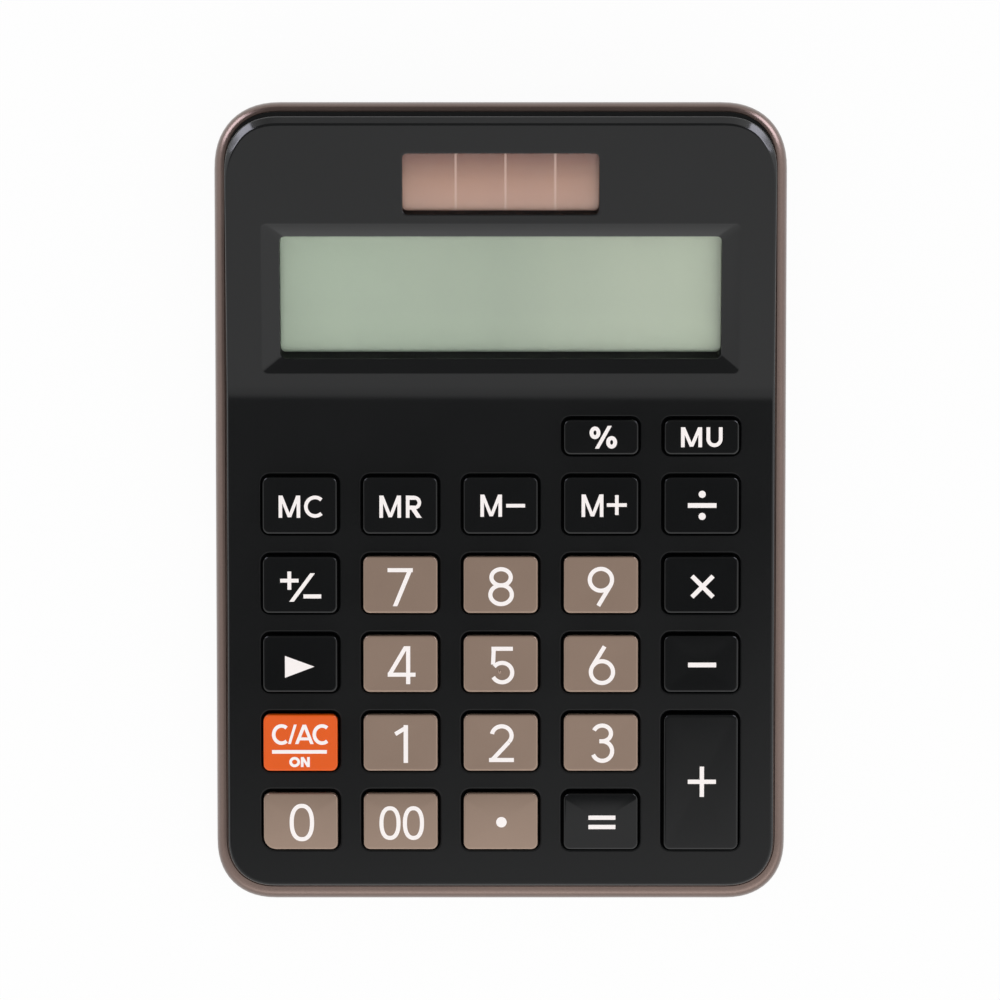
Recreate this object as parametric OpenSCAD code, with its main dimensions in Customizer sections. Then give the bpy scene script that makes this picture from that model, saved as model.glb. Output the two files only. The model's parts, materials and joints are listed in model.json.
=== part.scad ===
// Compact desk calculator: 12-digit display, 26 keys, solar cell and button cell.
// Frame: X across the keys, Y from the front edge to the raised rear edge, Z up.
// The origin is under the middle of the body, on the surface that the feet stand on.

/* [Body] */
// Width of the lower shell, which is the widest piece
body_w = 106; // [90:1:130]
// Length from the front edge to the rear edge
body_l = 148; // [136:1:180]
// Height of the display face's rear edge above the table
body_h = 29; // [28:0.5:36]
// Corner radius of the lower shell in plan
corner_r = 10; // [8:0.5:12]
// Wall thickness of both shells
wall = 1.8; // [1.4:0.1:2.2]
// Slope of the key deck
deck_tilt = 4.5; // [3:0.5:6]
// Slope of the display face
display_tilt = 12; // [10:0.5:14]
// Radius that blends the key deck into the display face
crease_r = 25; // [15:1:30]

/* [Keypad] */
// From the side of the body to the first key column
side_margin = 9.15; // [8:0.05:11]
// From the front of the body to the first key row
front_margin = 10.5; // [9:0.1:13]
// From the last key row to the crease under the display
crease_margin = 4.5; // [3.5:0.1:8]
// Space between two key columns
key_gap_x = 4.8; // [4.5:0.1:6]
// Space between two key rows
key_gap_y = 4.2; // [4:0.1:5]
// Length of the two short keys next to the display
short_key_l = 6.4; // [5.8:0.1:8]
// Height of the key tops above the deck
key_rise = 2.3; // [1.8:0.1:3]
// Travel of every key
key_travel = 1.5; // [1:0.1:1.8]
// Corner radius of the keys in plan
key_corner_r = 1.2; // [0.8:0.1:2]
// Gap between a key and its hole
key_clearance = 0.45; // [0.3:0.05:0.5]

/* [Display] */
// Length of the bevelled recess round the display, along the display face
bezel_l = 27.6; // [26:0.1:29]
// Depth of that recess
bezel_depth = 2.2; // [1.5:0.1:2.6]
// Width of its bevel at the two ends
bevel_x = 3.2; // [2:0.1:4]
// Width of its bevel along the two long sides
bevel_y = 2.44; // [2:0.02:3]
// From the crease to that recess
bezel_margin = 4.1; // [3.5:0.1:6]
// Width of the solar cell's opening
solar_w = 36; // [30:0.5:42]
// Length of that opening
solar_l = 11.1; // [9:0.1:13]
// From the recess to that opening
solar_gap = 1.9; // [1.9:0.1:4]
// From that opening to the rear edge of the display face
solar_margin = 4.9; // [4:0.1:8]

/* [Inside] */
// Thickness of the circuit board
board_t = 1.2; // [0.8:0.1:1.6]
// Thickness of the rubber keypad's base sheet
sheet_t = 0.8; // [0.6:0.1:1]
// Diameter of the button cell
cell_d = 11.6; // [9:0.1:12]
// Height of the button cell
cell_h = 5.4; // [3:0.1:6]
// Diameter of a rubber foot
foot_d = 9; // [7:0.5:11]
// How far the feet stand proud of the underside
foot_stand = 1; // [0.8:0.1:1.5]

/* [Hidden] */
$fn = 48;
corner_steps = 8;
plate_steps = 5;
slice = 0.02; // thickness of a layer that a hull is stretched between
past = 1; // how far a cut runs past the face that it opens
seat_gap = 0.1; // between two pieces that touch in one another's seats

// Shell outline: how far each level lies inside the widest line of the body.
waist_z = -7.5; // the widest line, measured from the deck
parting_z = -4.5; // where the two shells meet, measured from the deck
upper_side_in = 2.2;
upper_front_in = 2.9;
upper_rear_in = 1.8;
upper_draft = 0.35; // how much the upper shell narrows from the parting line to its rim
edge_round = 0.5; // rounding of the upper shell's rim
face_front_in = 3.4;
face_corner_r = 8.3;
rear_slope = 4.6; // from the widest line to the display face's rear edge, in plan
chamfer_y = 1.7; // rear chamfer of the upper shell, along the display face
chamfer_z = 2.5; // and square to it
lower_lip_in = 1.9;
lip_t = 0.8; // tongue of the lower shell that stands inside the upper one
lip_h = 1;
tongue_gap = 0.4; // between the tongue and the upper shell's wall, which leans in above it
rim_t = 1.2; // rim that carries the tongue

// The key deck's own frame: tilted, with its z at 0 on the deck's surface.
case_l = body_l / cos(deck_tilt);
deck_y = waist_z * sin(deck_tilt);
face_tilt = display_tilt - deck_tilt;

// Keys fill the deck between the margins.
columns = 5;
rows = 5;
key_w = (body_w - 2 * side_margin - (columns - 1) * key_gap_x) / columns;
face_l = bezel_margin + bezel_l + solar_gap + solar_l + solar_margin;
crease_y = case_l / 2 - rear_slope - face_l * cos(face_tilt);
deck_l = crease_y + case_l / 2 - front_margin - crease_margin;
key_l = (deck_l - short_key_l - rows * key_gap_y) / rows;
pitch_x = key_w + key_gap_x;
pitch_y = key_l + key_gap_y;
deck_z = body_h - crease_y * sin(deck_tilt) - face_l * sin(display_tilt);

// Heights below the deck, from the key's flange down to the circuit board.
flange_t = 0.9;
flange_w = 0.9; // how far the flange reaches past the key
key_wall = 1.2;
post_d = 3;
post_drop = 0.75; // how far the post reaches below the flange
press_gap = 0.05; // what is left between pill and board at full travel
dome_top_t = 0.7;
pill_t = 0.35;
flange_top = -wall - seat_gap;
flange_z = flange_top - flange_t;
post_z = flange_z - post_drop;
dome_z = post_z - press_gap;
dome_h = key_travel + press_gap + dome_top_t + pill_t - sheet_t;
sheet_z = dome_z - dome_h - sheet_t;
board_top = sheet_z;
board_z = board_top - board_t;
dome_wall = 0.5;
dome_flare = 1.4; // how much wider a dome's foot is than its top, each side

// Circuit board outline
board_side_in = 6.5;
board_front_in = 6.7;
board_rear = crease_y - 3.6;

// Self-tapping screws: [core radius, shank length, head radius, head height]
case_screw = [0.85, 6, 2, 1.4];
small_screw = [0.7, 4, 1.4, 0.9];
pilot_gap = 0.05;
pilot_past = 0.3; // how far a pilot hole runs past its screw's tip
through_gap = 0.25;
case_boss_r = 2.5;
boss_z = parting_z - 1; // where the bosses beside the board stop
board_boss_r = 1.6;
seat_t = 1.6; // plastic under a case screw's head

// Screw places. Those of the board lie in the gaps between keys: [column gap, row gap].
board_spots = [[0, 0], [3, 0], [1, 1], [2, 1], [0, 2], [3, 2], [1, 3], [2, 3]];
front_spots = [[0, 4], [3, 4]];
front_shift = 0.4; // takes the front screws towards the middle, clear of the tall key's flange
mid_screw_x = body_w / 2 - 6.7;
mid_screw_y = crease_y - 0.4;
rear_screw_x = body_w / 2 - 10;
rear_screw_y = case_l / 2 - 12;

// Display stack, from the underside of the bezel inwards, in the display face's frame
bezel_w = body_w - 2 * side_margin - 0.1;
bezel_y = bezel_margin + bezel_l / 2;
opening_w = bezel_w - 2 * bevel_x;
opening_l = bezel_l - 2 * bevel_y;
opening_r = 1;
well_top = -bezel_depth - wall;
window_t = 1.2;
film_t = 0.2;
glass_t = 0.7;
stack_w = opening_w + 3.2;
stack_l = opening_l + 4;
frame_over = 0.8; // how far the display frame reaches past the glass
ledge_l = 2.6; // the rear glass's contact ledge, towards the keys
well_gap = 0.2;
well_wall = 1;
window_z = well_top - seat_gap - window_t;
front_film_z = window_z - seat_gap - film_t;
front_glass_z = front_film_z - glass_t;
rear_glass_z = front_glass_z - glass_t;
rear_film_z = rear_glass_z - film_t;
frame_t = 1.2;
frame_z = rear_film_z - seat_gap - frame_t;
ear_x = stack_w / 2 + well_wall + 2.4;
ear_r = 1.9;
ear_y = 9;

// Solar cell, under the display face
solar_y = face_l - solar_margin - solar_l / 2;
solar_lap = 0.9; // how far window and cell reach past the opening
solar_window_t = 1;
solar_cell_t = 1.1;
solar_pad_t = 1.5;
solar_window_z = -wall - seat_gap - solar_window_t;
solar_cell_z = solar_window_z - solar_cell_t;
solar_pad_z = solar_cell_z - solar_pad_t;
solar_tray_t = 1;
solar_tray_z = solar_pad_z - seat_gap / 2 - solar_tray_t;

// Underside
floor_z = foot_stand;
foot_sink = 0.8;
foot_in = 12; // from the body's side to a foot's middle
foot_front_y = -body_l / 2 + 13;
foot_rear_y = body_l / 2 - 13;
cell_x = 30;
cell_y = body_l / 2 - 34;
door_w = 27;
door_l = 17;
door_t = 1.5;
door_x = cell_x - 4;
door_r = 1.5;
door_screw_x = door_x - door_w / 2 + 4;
door_gap = 0.2;
door_lap = 1.5; // plastic that the door closes against
cup_gap = 0.3;
cup_wall = 1.4;
cell_z = floor_z + door_t + 0.3;
spring_h = 1.4;
cup_top = cell_z + cell_h + spring_h;
strip_t = 0.3;
strip_w = 4;
tab_h = 2.2; // solder tabs of the cell's contacts, above the cup

// Leads
lead_d = 1;
solar_lead_x = [-16, -12.5];
board_lead_x = [41, 38]; // at the board's rear edge: the cell's on the right, the solar cell's on the left
lead_steps = 14;
lead_sides = 8;

// [name, column, row, rows spanned]: row 0 holds the two short keys.
KEYS = [
    ["key_percent", 3, 0, 1], ["key_mark_up", 4, 0, 1],
    ["key_memory_clear", 0, 1, 1], ["key_memory_recall", 1, 1, 1], ["key_memory_minus", 2, 1, 1],
    ["key_memory_plus", 3, 1, 1], ["key_divide", 4, 1, 1],
    ["key_sign", 0, 2, 1], ["key_7", 1, 2, 1], ["key_8", 2, 2, 1], ["key_9", 3, 2, 1],
    ["key_multiply", 4, 2, 1],
    ["key_backspace", 0, 3, 1], ["key_4", 1, 3, 1], ["key_5", 2, 3, 1], ["key_6", 3, 3, 1],
    ["key_minus", 4, 3, 1],
    ["key_clear", 0, 4, 1], ["key_1", 1, 4, 1], ["key_2", 2, 4, 1], ["key_3", 3, 4, 1],
    ["key_plus", 4, 4, 2],
    ["key_0", 0, 5, 1], ["key_00", 1, 5, 1], ["key_point", 2, 5, 1], ["key_equals", 3, 5, 1]
];
TAUPE_KEYS = ["key_0", "key_00", "key_1", "key_2", "key_3", "key_4", "key_5", "key_6", "key_7",
    "key_8", "key_9", "key_point"];

// ---- frames, points and outlines ----

function turned(p, a) = [p.x, p.y * cos(a) - p.z * sin(a), p.y * sin(a) + p.z * cos(a)];
function from_deck(p) = turned(p, deck_tilt) + [0, deck_y, deck_z];
function from_face(p) = from_deck(turned(p, face_tilt) + [0, crease_y, 0]);

module deck() translate([0, deck_y, deck_z]) rotate([deck_tilt, 0, 0]) children();
module face() deck() translate([0, crease_y, 0]) rotate([face_tilt, 0, 0]) children();

function arc(x, y, r, from, to, n = corner_steps) =
    [for (i = [0 : n]) let (a = from + (to - from) * i / n) [x + r * cos(a), y + r * sin(a)]];

// Rounded rectangle between two x and two y, with one radius in front and one at the rear
function rounded(x, y0, y1, front_r, rear_r, n = corner_steps) = concat(
    arc(x - front_r, y0 + front_r, front_r, -90, 0, n),
    arc(x - rear_r, y1 - rear_r, rear_r, 0, 90, n),
    arc(rear_r - x, y1 - rear_r, rear_r, 90, 180, n),
    arc(front_r - x, y0 + front_r, front_r, 180, 270, n));

module plate(w, l, r, t) {
    linear_extrude(t) polygon(rounded(w / 2, -l / 2, l / 2, r, r, plate_steps));
}

// A thin layer of a shell: its edges lie these distances inside the body's widest line
module level(z, side, front, rear, r) {
    translate([0, 0, z]) linear_extrude(slice)
        polygon(rounded(body_w / 2 - side, -case_l / 2 + front, case_l / 2 - rear, r, r));
}

// ---- places ----

function column_x(c) = (c - (columns - 1) / 2) * pitch_x;
function row_y(r) = -case_l / 2 + front_margin + key_l / 2 + (rows - r) * pitch_y;
function key_span(k) = k[2] == 0 ? short_key_l : key_l + (k[3] - 1) * pitch_y;
function key_y(k) = k[2] == 0
    ? row_y(1) + key_l / 2 + key_gap_y + short_key_l / 2
    : row_y(k[2]) - (k[3] - 1) * pitch_y / 2;
function gap_spot(s) = [column_x(s[0]) + pitch_x / 2,
    s[1] == 0 ? row_y(1) + (key_l + key_gap_y) / 2 : row_y(s[1]) - pitch_y / 2];

board_places = [for (s = board_spots) gap_spot(s)];
front_places = [for (s = front_spots) let (p = gap_spot(s)) [p.x - sign(p.x) * front_shift, p.y]];
mid_places = [[-mid_screw_x, mid_screw_y], [mid_screw_x, mid_screw_y]];
rear_places = [[-rear_screw_x, rear_screw_y], [rear_screw_x, rear_screw_y]];
open_places = concat(mid_places, rear_places); // case screws that pass beside the board
case_places = concat(front_places, open_places);
// A lower post stops under the board, or under the boss that it meets
function post_top(p) = (p.y < board_rear ? board_z : boss_z) - seat_gap;
ear_places = [for (x = [-ear_x, ear_x], y = [-ear_y, ear_y]) [x, bezel_y + y]];

module at_places(places, z) {
    for (p = places) translate([p.x, p.y, z]) children();
}

// ---- shells ----

// Everything above the deck and the display face, lowered by drop
module above_faces(drop) {
    run = crease_r * tan(face_tilt / 2);
    far = body_l;
    translate([-body_w, 0, -drop]) rotate([90, 0, 90]) linear_extrude(2 * body_w) polygon(concat(
        [[-far, 0]],
        arc(crease_y - run, crease_r, crease_r, -90, -90 + face_tilt),
        [[crease_y + far * cos(face_tilt), far * sin(face_tilt)], [crease_y + far, far], [-far, far]]));
}

// The upper shell's solid form, with its walls moved in and its faces lowered.
// Moved in, it is the shell's hollow, and runs past the parting line.
// Its top layers stand a little above the faces, which then trim them.
module upper_form(in, drop) {
    rim = upper_side_in + upper_draft;
    half = body_w / 2 - rim - in;
    front = -case_l / 2 + face_front_in + in;
    difference() {
        hull() {
            deck() {
                level(parting_z - (in > 0 ? past : 0), upper_side_in + in, upper_front_in + in,
                    upper_rear_in + in, corner_r - upper_side_in - in);
                translate([0, 0, -edge_round - drop]) linear_extrude(slice)
                    polygon(rounded(half, front, crease_y, face_corner_r - in, 1));
                translate([0, 0, -drop]) linear_extrude(slice) polygon(rounded(
                    half - edge_round, front + edge_round, crease_y, face_corner_r - in, 1));
            }
            face() {
                translate([0, 0, -chamfer_z - drop]) linear_extrude(slice) polygon(
                    rounded(half, 0, face_l + chamfer_y - in, 1, face_corner_r - in));
                translate([0, 0, -drop]) linear_extrude(slice) polygon(
                    rounded(half - edge_round, 0, face_l - in, 1, face_corner_r - in));
            }
        }
        deck() above_faces(drop);
    }
}

module key_holes() {
    for (k = KEYS) translate([column_x(k[1]), key_y(k), -wall - past])
        plate(key_w + 2 * key_clearance, key_span(k) + 2 * key_clearance,
            key_corner_r + key_clearance, wall + 2 * past);
}

// Bosses hang from the faces and stop at the given depth below the deck
module boss_posts() {
    deck() {
        at_places(board_places, board_top) cylinder(-board_top - wall / 2, r = board_boss_r);
        at_places(front_places, board_top) cylinder(-board_top - wall / 2, r = board_boss_r);
        intersection() {
            at_places(open_places, boss_z) cylinder(body_h, r = case_boss_r);
            translate([0, 0, -wall / 2]) below_faces();
        }
    }
    face() at_places(ear_places, frame_z + frame_t + seat_gap)
        cylinder(-frame_z - frame_t - wall / 2, r = ear_r);
}

// A block that ends at the two faces
module below_faces() {
    difference() {
        translate([-body_w / 2, -case_l / 2, -body_h]) cube([body_w, case_l, 2 * body_h]);
        above_faces(0);
    }
}

module boss_holes() {
    case_pilot = case_screw[0] + pilot_gap;
    small_pilot = small_screw[0] + pilot_gap;
    deck() {
        at_places(board_places, board_z) cylinder(small_screw[1] + pilot_past, r = small_pilot);
        for (p = case_places) translate([p.x, p.y, post_top(p) - seat_t])
            cylinder(case_screw[1] + pilot_past, r = case_pilot);
    }
    face() at_places(ear_places, frame_z) cylinder(small_screw[1] + pilot_past, r = small_pilot);
}

// Walls round the display stack, and the thickened bezel above it
module display_well() {
    depth = well_top - frame_z - frame_t;
    well_y = bezel_y - ledge_l / 2;
    face() {
        translate([0, bezel_y, well_top])
            plate(bezel_w - 1, bezel_l + 0.6, 1.5, bezel_depth + wall / 2);
        translate([0, well_y, well_top - depth]) difference() {
            plate(stack_w + 2 * (well_gap + well_wall), stack_l + ledge_l + 2 * (well_gap + well_wall),
                1.5, depth + wall / 2);
            translate([0, 0, -past])
                plate(stack_w + 2 * well_gap, stack_l + ledge_l + 2 * well_gap, 0.5, depth + past);
        }
    }
}

module display_opening() {
    face() translate([0, bezel_y, 0]) {
        hull() {
            translate([0, 0, past]) plate(bezel_w + bevel_x / bezel_depth * 2 * past,
                bezel_l + bevel_y / bezel_depth * 2 * past, opening_r, slice);
            translate([0, 0, -bezel_depth]) plate(opening_w, opening_l, opening_r, slice);
        }
        translate([0, 0, well_top - past])
            plate(opening_w, opening_l, opening_r, wall + past + bezel_depth / 2);
    }
}

// Walls that locate the solar window, cell, pad and tray
module solar_walls() {
    room = 2 * (solar_lap + well_gap);
    face() translate([0, solar_y, solar_tray_z]) difference() {
        plate(solar_w + room + 2 * well_wall, solar_l + room + 2 * well_wall, 1, -solar_tray_z - wall / 2);
        translate([0, 0, -past]) plate(solar_w + room, solar_l + room, 0.5, past - solar_tray_z - wall);
    }
}

module upper_shell() {
    color("#1c1d1f") difference() {
        union() {
            difference() {
                upper_form(0, 0);
                upper_form(wall, wall);
            }
            boss_posts();
            display_well();
            solar_walls();
        }
        boss_holes();
        deck() key_holes();
        display_opening();
        face() translate([0, solar_y, -wall - past]) plate(solar_w, solar_l, 0.8, wall + 2 * past);
    }
}

// The lower shell's solid form, with its walls moved in and its floor raised
module lower_form(in, lift) {
    hull() {
        deck() {
            level(parting_z - slice, lower_lip_in + in, lower_lip_in + in + 0.6, lower_lip_in + in - 0.3,
                corner_r - lower_lip_in - in);
            level(parting_z - 0.7, 0.8 + in, 0.9 + in, 0.8 + in, corner_r - 0.8 - in);
            level(waist_z, in, in, in, corner_r - in);
        }
        translate([0, 0, floor_z + 2.2 + lift]) linear_extrude(slice) polygon(rounded(
            body_w / 2 - 0.7 - in, -body_l / 2 + 0.9 + in, body_l / 2 - 0.9 - in,
            corner_r - 1 - in, corner_r - 1 - in));
        translate([0, 0, floor_z + lift]) linear_extrude(slice) polygon(rounded(
            body_w / 2 - 2.2 - in, -body_l / 2 + 2.6 + in, body_l / 2 - 2.6 - in,
            corner_r - 2.2 - in, corner_r - 2.2 - in));
    }
}

// Outline of the tongue that stands up inside the upper shell, moved in by the given distance
module tongue_outline(in) {
    gone = wall + tongue_gap + in;
    r = corner_r - upper_side_in - gone;
    polygon(rounded(body_w / 2 - upper_side_in - gone, -case_l / 2 + upper_front_in + gone,
        case_l / 2 - upper_rear_in - gone, r, r));
}

module lower_tongue() {
    deck() translate([0, 0, parting_z - lip_h / 2]) linear_extrude(1.5 * lip_h) difference() {
        tongue_outline(0);
        tongue_outline(lip_t);
    }
}

// The hollow under the parting line, which leaves a rim that carries the tongue
module lower_hollow() {
    difference() {
        lower_form(wall, wall);
        translate([-body_w / 2, -body_l / 2, -past]) cube([body_w, body_l, floor_z + wall + past]);
        deck() translate([-body_w, -body_l, parting_z - rim_t]) cube([2 * body_w, 2 * body_l, body_h]);
    }
    deck() translate([0, 0, parting_z - rim_t - past / 2]) linear_extrude(2 * past + rim_t)
        tongue_outline(lip_t);
}

// Posts that take the case screws from below
module lower_posts() {
    intersection() {
        deck() for (p = case_places)
            translate([p.x, p.y, -body_h]) cylinder(body_h + post_top(p), r = case_boss_r + 0.6);
        translate([-body_w / 2, -body_l / 2, floor_z + wall / 2]) cube([body_w, body_l, body_h]);
    }
}

module lower_screw_holes() {
    deck() for (p = case_places) {
        translate([p.x, p.y, post_top(p) - seat_t - past])
            cylinder(seat_t + 2 * past, r = case_screw[0] + through_gap);
        translate([p.x, p.y, -body_h - past])
            cylinder(body_h + past + post_top(p) - seat_t, r = case_screw[2] + through_gap);
    }
}

// Cup for the button cell, and the frame that the battery door closes against
module cell_housing() {
    ledge_z = floor_z + door_t + 0.1;
    translate([cell_x, cell_y, ledge_z]) {
        cylinder(cup_top - ledge_z + 1, r = cell_d / 2 + cup_gap + cup_wall);
    }
    translate([door_x, cell_y, floor_z + wall / 2])
        plate(door_w + 3, door_l + 3, door_r + 1.5, door_t + door_lap - wall / 2);
    translate([door_screw_x, cell_y, ledge_z]) cylinder(6, r = 2.4);
}

module cell_openings() {
    ledge_z = floor_z + door_t + 0.1;
    translate([door_x, cell_y, floor_z - past])
        plate(door_w + 2 * door_gap, door_l + 2 * door_gap, door_r + door_gap, past + ledge_z - floor_z);
    translate([cell_x, cell_y, ledge_z - past])
        cylinder(past + cup_top - ledge_z, r = cell_d / 2 + cup_gap);
    translate([door_screw_x, cell_y, ledge_z - past])
        cylinder(past + 4.5, r = small_screw[0] + pilot_gap);
    // slot for the strip at the cell's rim
    translate([cell_x + cell_d / 2 - 0.2, cell_y - strip_w / 2 - 0.2, cell_z])
        cube([strip_t + 0.6, strip_w + 0.4, body_h]);
    // slot for the spring's tab
    translate([cell_x - 1.2, cell_y - 0.45, cup_top - past]) cube([2.4, 0.9, 2 + past]);
}

module foot_places(z) {
    for (x = [foot_in - body_w / 2, body_w / 2 - foot_in], y = [foot_front_y, foot_rear_y])
        translate([x, y, z]) children();
}

module lower_shell() {
    color("#7d6a63") difference() {
        union() {
            difference() {
                lower_form(0, 0);
                lower_hollow();
            }
            lower_tongue();
            lower_posts();
            cell_housing();
        }
        lower_screw_holes();
        cell_openings();
        // notches in the rim for the bosses beside it
        deck() at_places(open_places, boss_z - seat_gap / 2)
            cylinder(1 + lip_h + past, r = case_boss_r + tongue_gap);
        foot_places(floor_z - past) cylinder(past + foot_sink, r = foot_d / 2 + seat_gap);
    }
}

// ---- display ----

module display_window() {
    color("#dfe5e2", 0.4) face() translate([0, bezel_y, window_z]) plate(stack_w, stack_l, 1, window_t);
}

module front_polariser() {
    color("#9aa79a") face() translate([0, bezel_y, front_film_z])
        plate(opening_w + 1.6, opening_l + 1.6, 0.3, film_t);
}

module front_glass() {
    color("#a9b8ab") face() translate([0, bezel_y, front_glass_z]) plate(stack_w, stack_l, 0.1, glass_t);
}

module rear_glass() {
    color("#a9b8ab") face() translate([0, bezel_y - ledge_l / 2, rear_glass_z])
        plate(stack_w, stack_l + ledge_l, 0.1, glass_t);
}

module rear_reflector() {
    color("#c9cfc6") face() translate([0, bezel_y, rear_film_z])
        plate(opening_w + 1.6, opening_l + 1.6, 0.3, film_t);
}

// Tray behind the glass, open in the middle, with four screwed ears
module display_frame() {
    color("#2a2b2d") face() difference() {
        translate([0, 0, frame_z]) union() {
            translate([0, bezel_y, 0])
                plate(stack_w + 2 * frame_over, stack_l + 2 * frame_over, 1, frame_t);
            at_places(ear_places, 0) cylinder(frame_t, r = ear_r);
            for (y = [-ear_y, ear_y]) translate([-ear_x, bezel_y + y - 1.5, 0])
                cube([2 * ear_x, 3, frame_t]);
        }
        translate([0, bezel_y, frame_z - past]) plate(stack_w - 8, stack_l - 8, 2, frame_t + 2 * past);
        at_places(ear_places, frame_z - past)
            cylinder(frame_t + 2 * past, r = small_screw[0] + through_gap);
    }
}

// Pan-head screw with a cross recess: its head's top is at z = 0 and its shank points up
module screw(s) {
    slot_w = s[2] * 0.28;
    difference() {
        union() {
            translate([0, 0, -s[3]]) cylinder(s[3], r = s[2]);
            cylinder(s[1], r = s[0]);
        }
        for (a = [0, 90]) rotate(a) translate([-s[2] * 0.6, -slot_w / 2, -s[3] - past])
            cube([s[2] * 1.2, slot_w, past + s[3] * 0.6]);
    }
}

module frame_screws() {
    color("#b8babd") face() at_places(ear_places, frame_z - seat_gap / 2) screw(small_screw);
}

// Printed film from the glass ledge to the underside of the board
module display_ribbon() {
    film = 0.2;
    lap = ledge_l - frame_over - 0.2;
    glass_y = bezel_y - stack_l / 2 - ledge_l;
    start = turned([0, glass_y + lap, rear_glass_z - film - 0.02], face_tilt) + [0, crease_y, 0];
    edge = turned([0, glass_y, rear_glass_z - film - 0.02], face_tilt) + [0, crease_y, 0];
    bend = [0, (edge.y + board_rear) / 2, board_z - 1.6];
    line = concat([[start.y, start.z]],
        [for (t = [0 : 0.125 : 1]) let (u = 1 - t)
            [u * u * edge.y + 2 * u * t * bend.y + t * t * board_rear,
             u * u * edge.z + 2 * u * t * bend.z + t * t * (board_z - film - 0.02)]],
        [[board_rear - lap, board_z - film - 0.02]]);
    color("#a3753a") deck() translate([-stack_w * 0.36, 0, 0]) rotate([90, 0, 90])
        linear_extrude(stack_w * 0.72)
            polygon(concat(line, [for (i = [len(line) - 1 : -1 : 0]) line[i] - [0, film]]));
}

// ---- solar cell ----

module solar_window() {
    color("#d8dcda", 0.4) face() translate([0, solar_y, solar_window_z])
        plate(solar_w + 2 * solar_lap, solar_l + 2 * solar_lap, 0.5, solar_window_t);
}

module solar_cell() {
    color("#8d6f63") face() translate([0, solar_y, solar_cell_z])
        plate(solar_w + 2 * solar_lap - 0.4, solar_l + 2 * solar_lap - 0.4, 0.1, solar_cell_t - 0.05);
}

module solar_pad() {
    color("#3a3a3c") face() translate([0, solar_y, solar_pad_z + 0.1])
        plate(solar_w - 16, solar_l - 2, 0.5, solar_pad_t - 0.15);
}

// Tray that holds the cell against its window, with holes for the two leads
module solar_tray() {
    room = 2 * (solar_lap + well_gap - seat_gap);
    color("#2a2b2d") face() difference() {
        translate([0, solar_y, solar_tray_z]) plate(solar_w + room, solar_l + room, 0.5, solar_tray_t);
        for (x = solar_lead_x) translate([x, solar_y, solar_tray_z - past])
            cylinder(solar_tray_t + 2 * past, d = lead_d + 0.6);
    }
}

// ---- keypad ----

function dome_r(k) = min(3.4, key_span(k) / 2 - 1.3);

// Silicone sheet with a hollow dome under every key
module rubber_keypad() {
    color("#8b8d90") deck() difference() {
        union() {
            translate([0, 0, sheet_z]) linear_extrude(sheet_t) polygon(rounded(
                body_w / 2 - board_side_in - 0.6, -case_l / 2 + board_front_in + 0.6,
                board_rear - 1, 2, 2));
            for (k = KEYS) translate([column_x(k[1]), key_y(k), sheet_z + sheet_t / 2])
                cylinder(dome_h + sheet_t / 2, r1 = dome_r(k) + dome_flare, r2 = dome_r(k));
        }
        for (k = KEYS) translate([column_x(k[1]), key_y(k), sheet_z - slice]) cylinder(
            dome_h + sheet_t - dome_top_t + slice, r1 = dome_r(k) + dome_flare - dome_wall,
            r2 = dome_r(k) - dome_wall);
        at_places(concat(board_places, front_places), sheet_z - past)
            cylinder(sheet_t + 2 * past, r = board_boss_r + through_gap);
    }
}

// Carbon pills under the domes
module contact_pills() {
    color("#26272a") deck() for (k = KEYS)
        translate([column_x(k[1]), key_y(k), dome_z - dome_top_t - pill_t])
            cylinder(pill_t, r = dome_r(k) - dome_wall - 0.6);
}

module keycap_form(w, l) {
    soft = 0.4; // rounding of the top edge
    hull() {
        translate([0, 0, flange_z]) plate(w, l, key_corner_r, key_rise - soft - flange_z);
        translate([0, 0, key_rise - soft * 0.3]) plate(w - soft * 0.6, l - soft * 0.6, key_corner_r, slice);
        translate([0, 0, key_rise - slice]) plate(w - 2 * soft, l - 2 * soft, key_corner_r, slice);
    }
}

// Hollow keycap with a retaining flange and a post that presses its dome
module key(k) {
    l = key_span(k);
    tone = k[0] == "key_clear" ? "#e2571b" : search([k[0]], TAUPE_KEYS) != [[]] ? "#8d7a70" : "#17181a";
    color(tone) deck() translate([column_x(k[1]), key_y(k), 0]) {
        difference() {
            union() {
                keycap_form(key_w, l);
                translate([0, 0, flange_z])
                    plate(key_w + 2 * flange_w, l + 2 * flange_w, key_corner_r + flange_w, flange_t);
            }
            translate([0, 0, flange_z - past]) plate(key_w - 2 * key_wall, l - 2 * key_wall,
                key_corner_r / 2, past + key_rise - key_wall - flange_z);
        }
        translate([0, 0, post_z]) cylinder(key_rise - key_wall / 2 - post_z, d = post_d);
    }
}

// ---- circuit board ----

module circuit_board() {
    color("#9c6b35") deck() difference() {
        translate([0, 0, board_z]) linear_extrude(board_t - 0.02) polygon(rounded(
            body_w / 2 - board_side_in, -case_l / 2 + board_front_in, board_rear, 3, 1));
        at_places(board_places, board_z - past)
            cylinder(board_t + 2 * past, r = small_screw[0] + through_gap);
        at_places(front_places, board_z - past)
            cylinder(board_t + 2 * past, r = case_screw[0] + through_gap);
    }
}

module board_screws() {
    color("#b8babd") deck() at_places(board_places, board_z - seat_gap / 2) screw(small_screw);
}

chip_y = row_y(3);

// Resin cap over the bonded chip
module chip_cap() {
    cap_r = 6;
    cap_h = 1.7;
    ball_r = (cap_r * cap_r + cap_h * cap_h) / (2 * cap_h);
    rise = asin(cap_r / ball_r);
    color("#141416") deck() translate([0, chip_y, board_z - 0.02]) mirror([0, 0, 1]) rotate_extrude()
        polygon(concat([[0, 0]], arc(0, cap_h - ball_r, ball_r, 90 - rise, 90, 10)));
}

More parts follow.
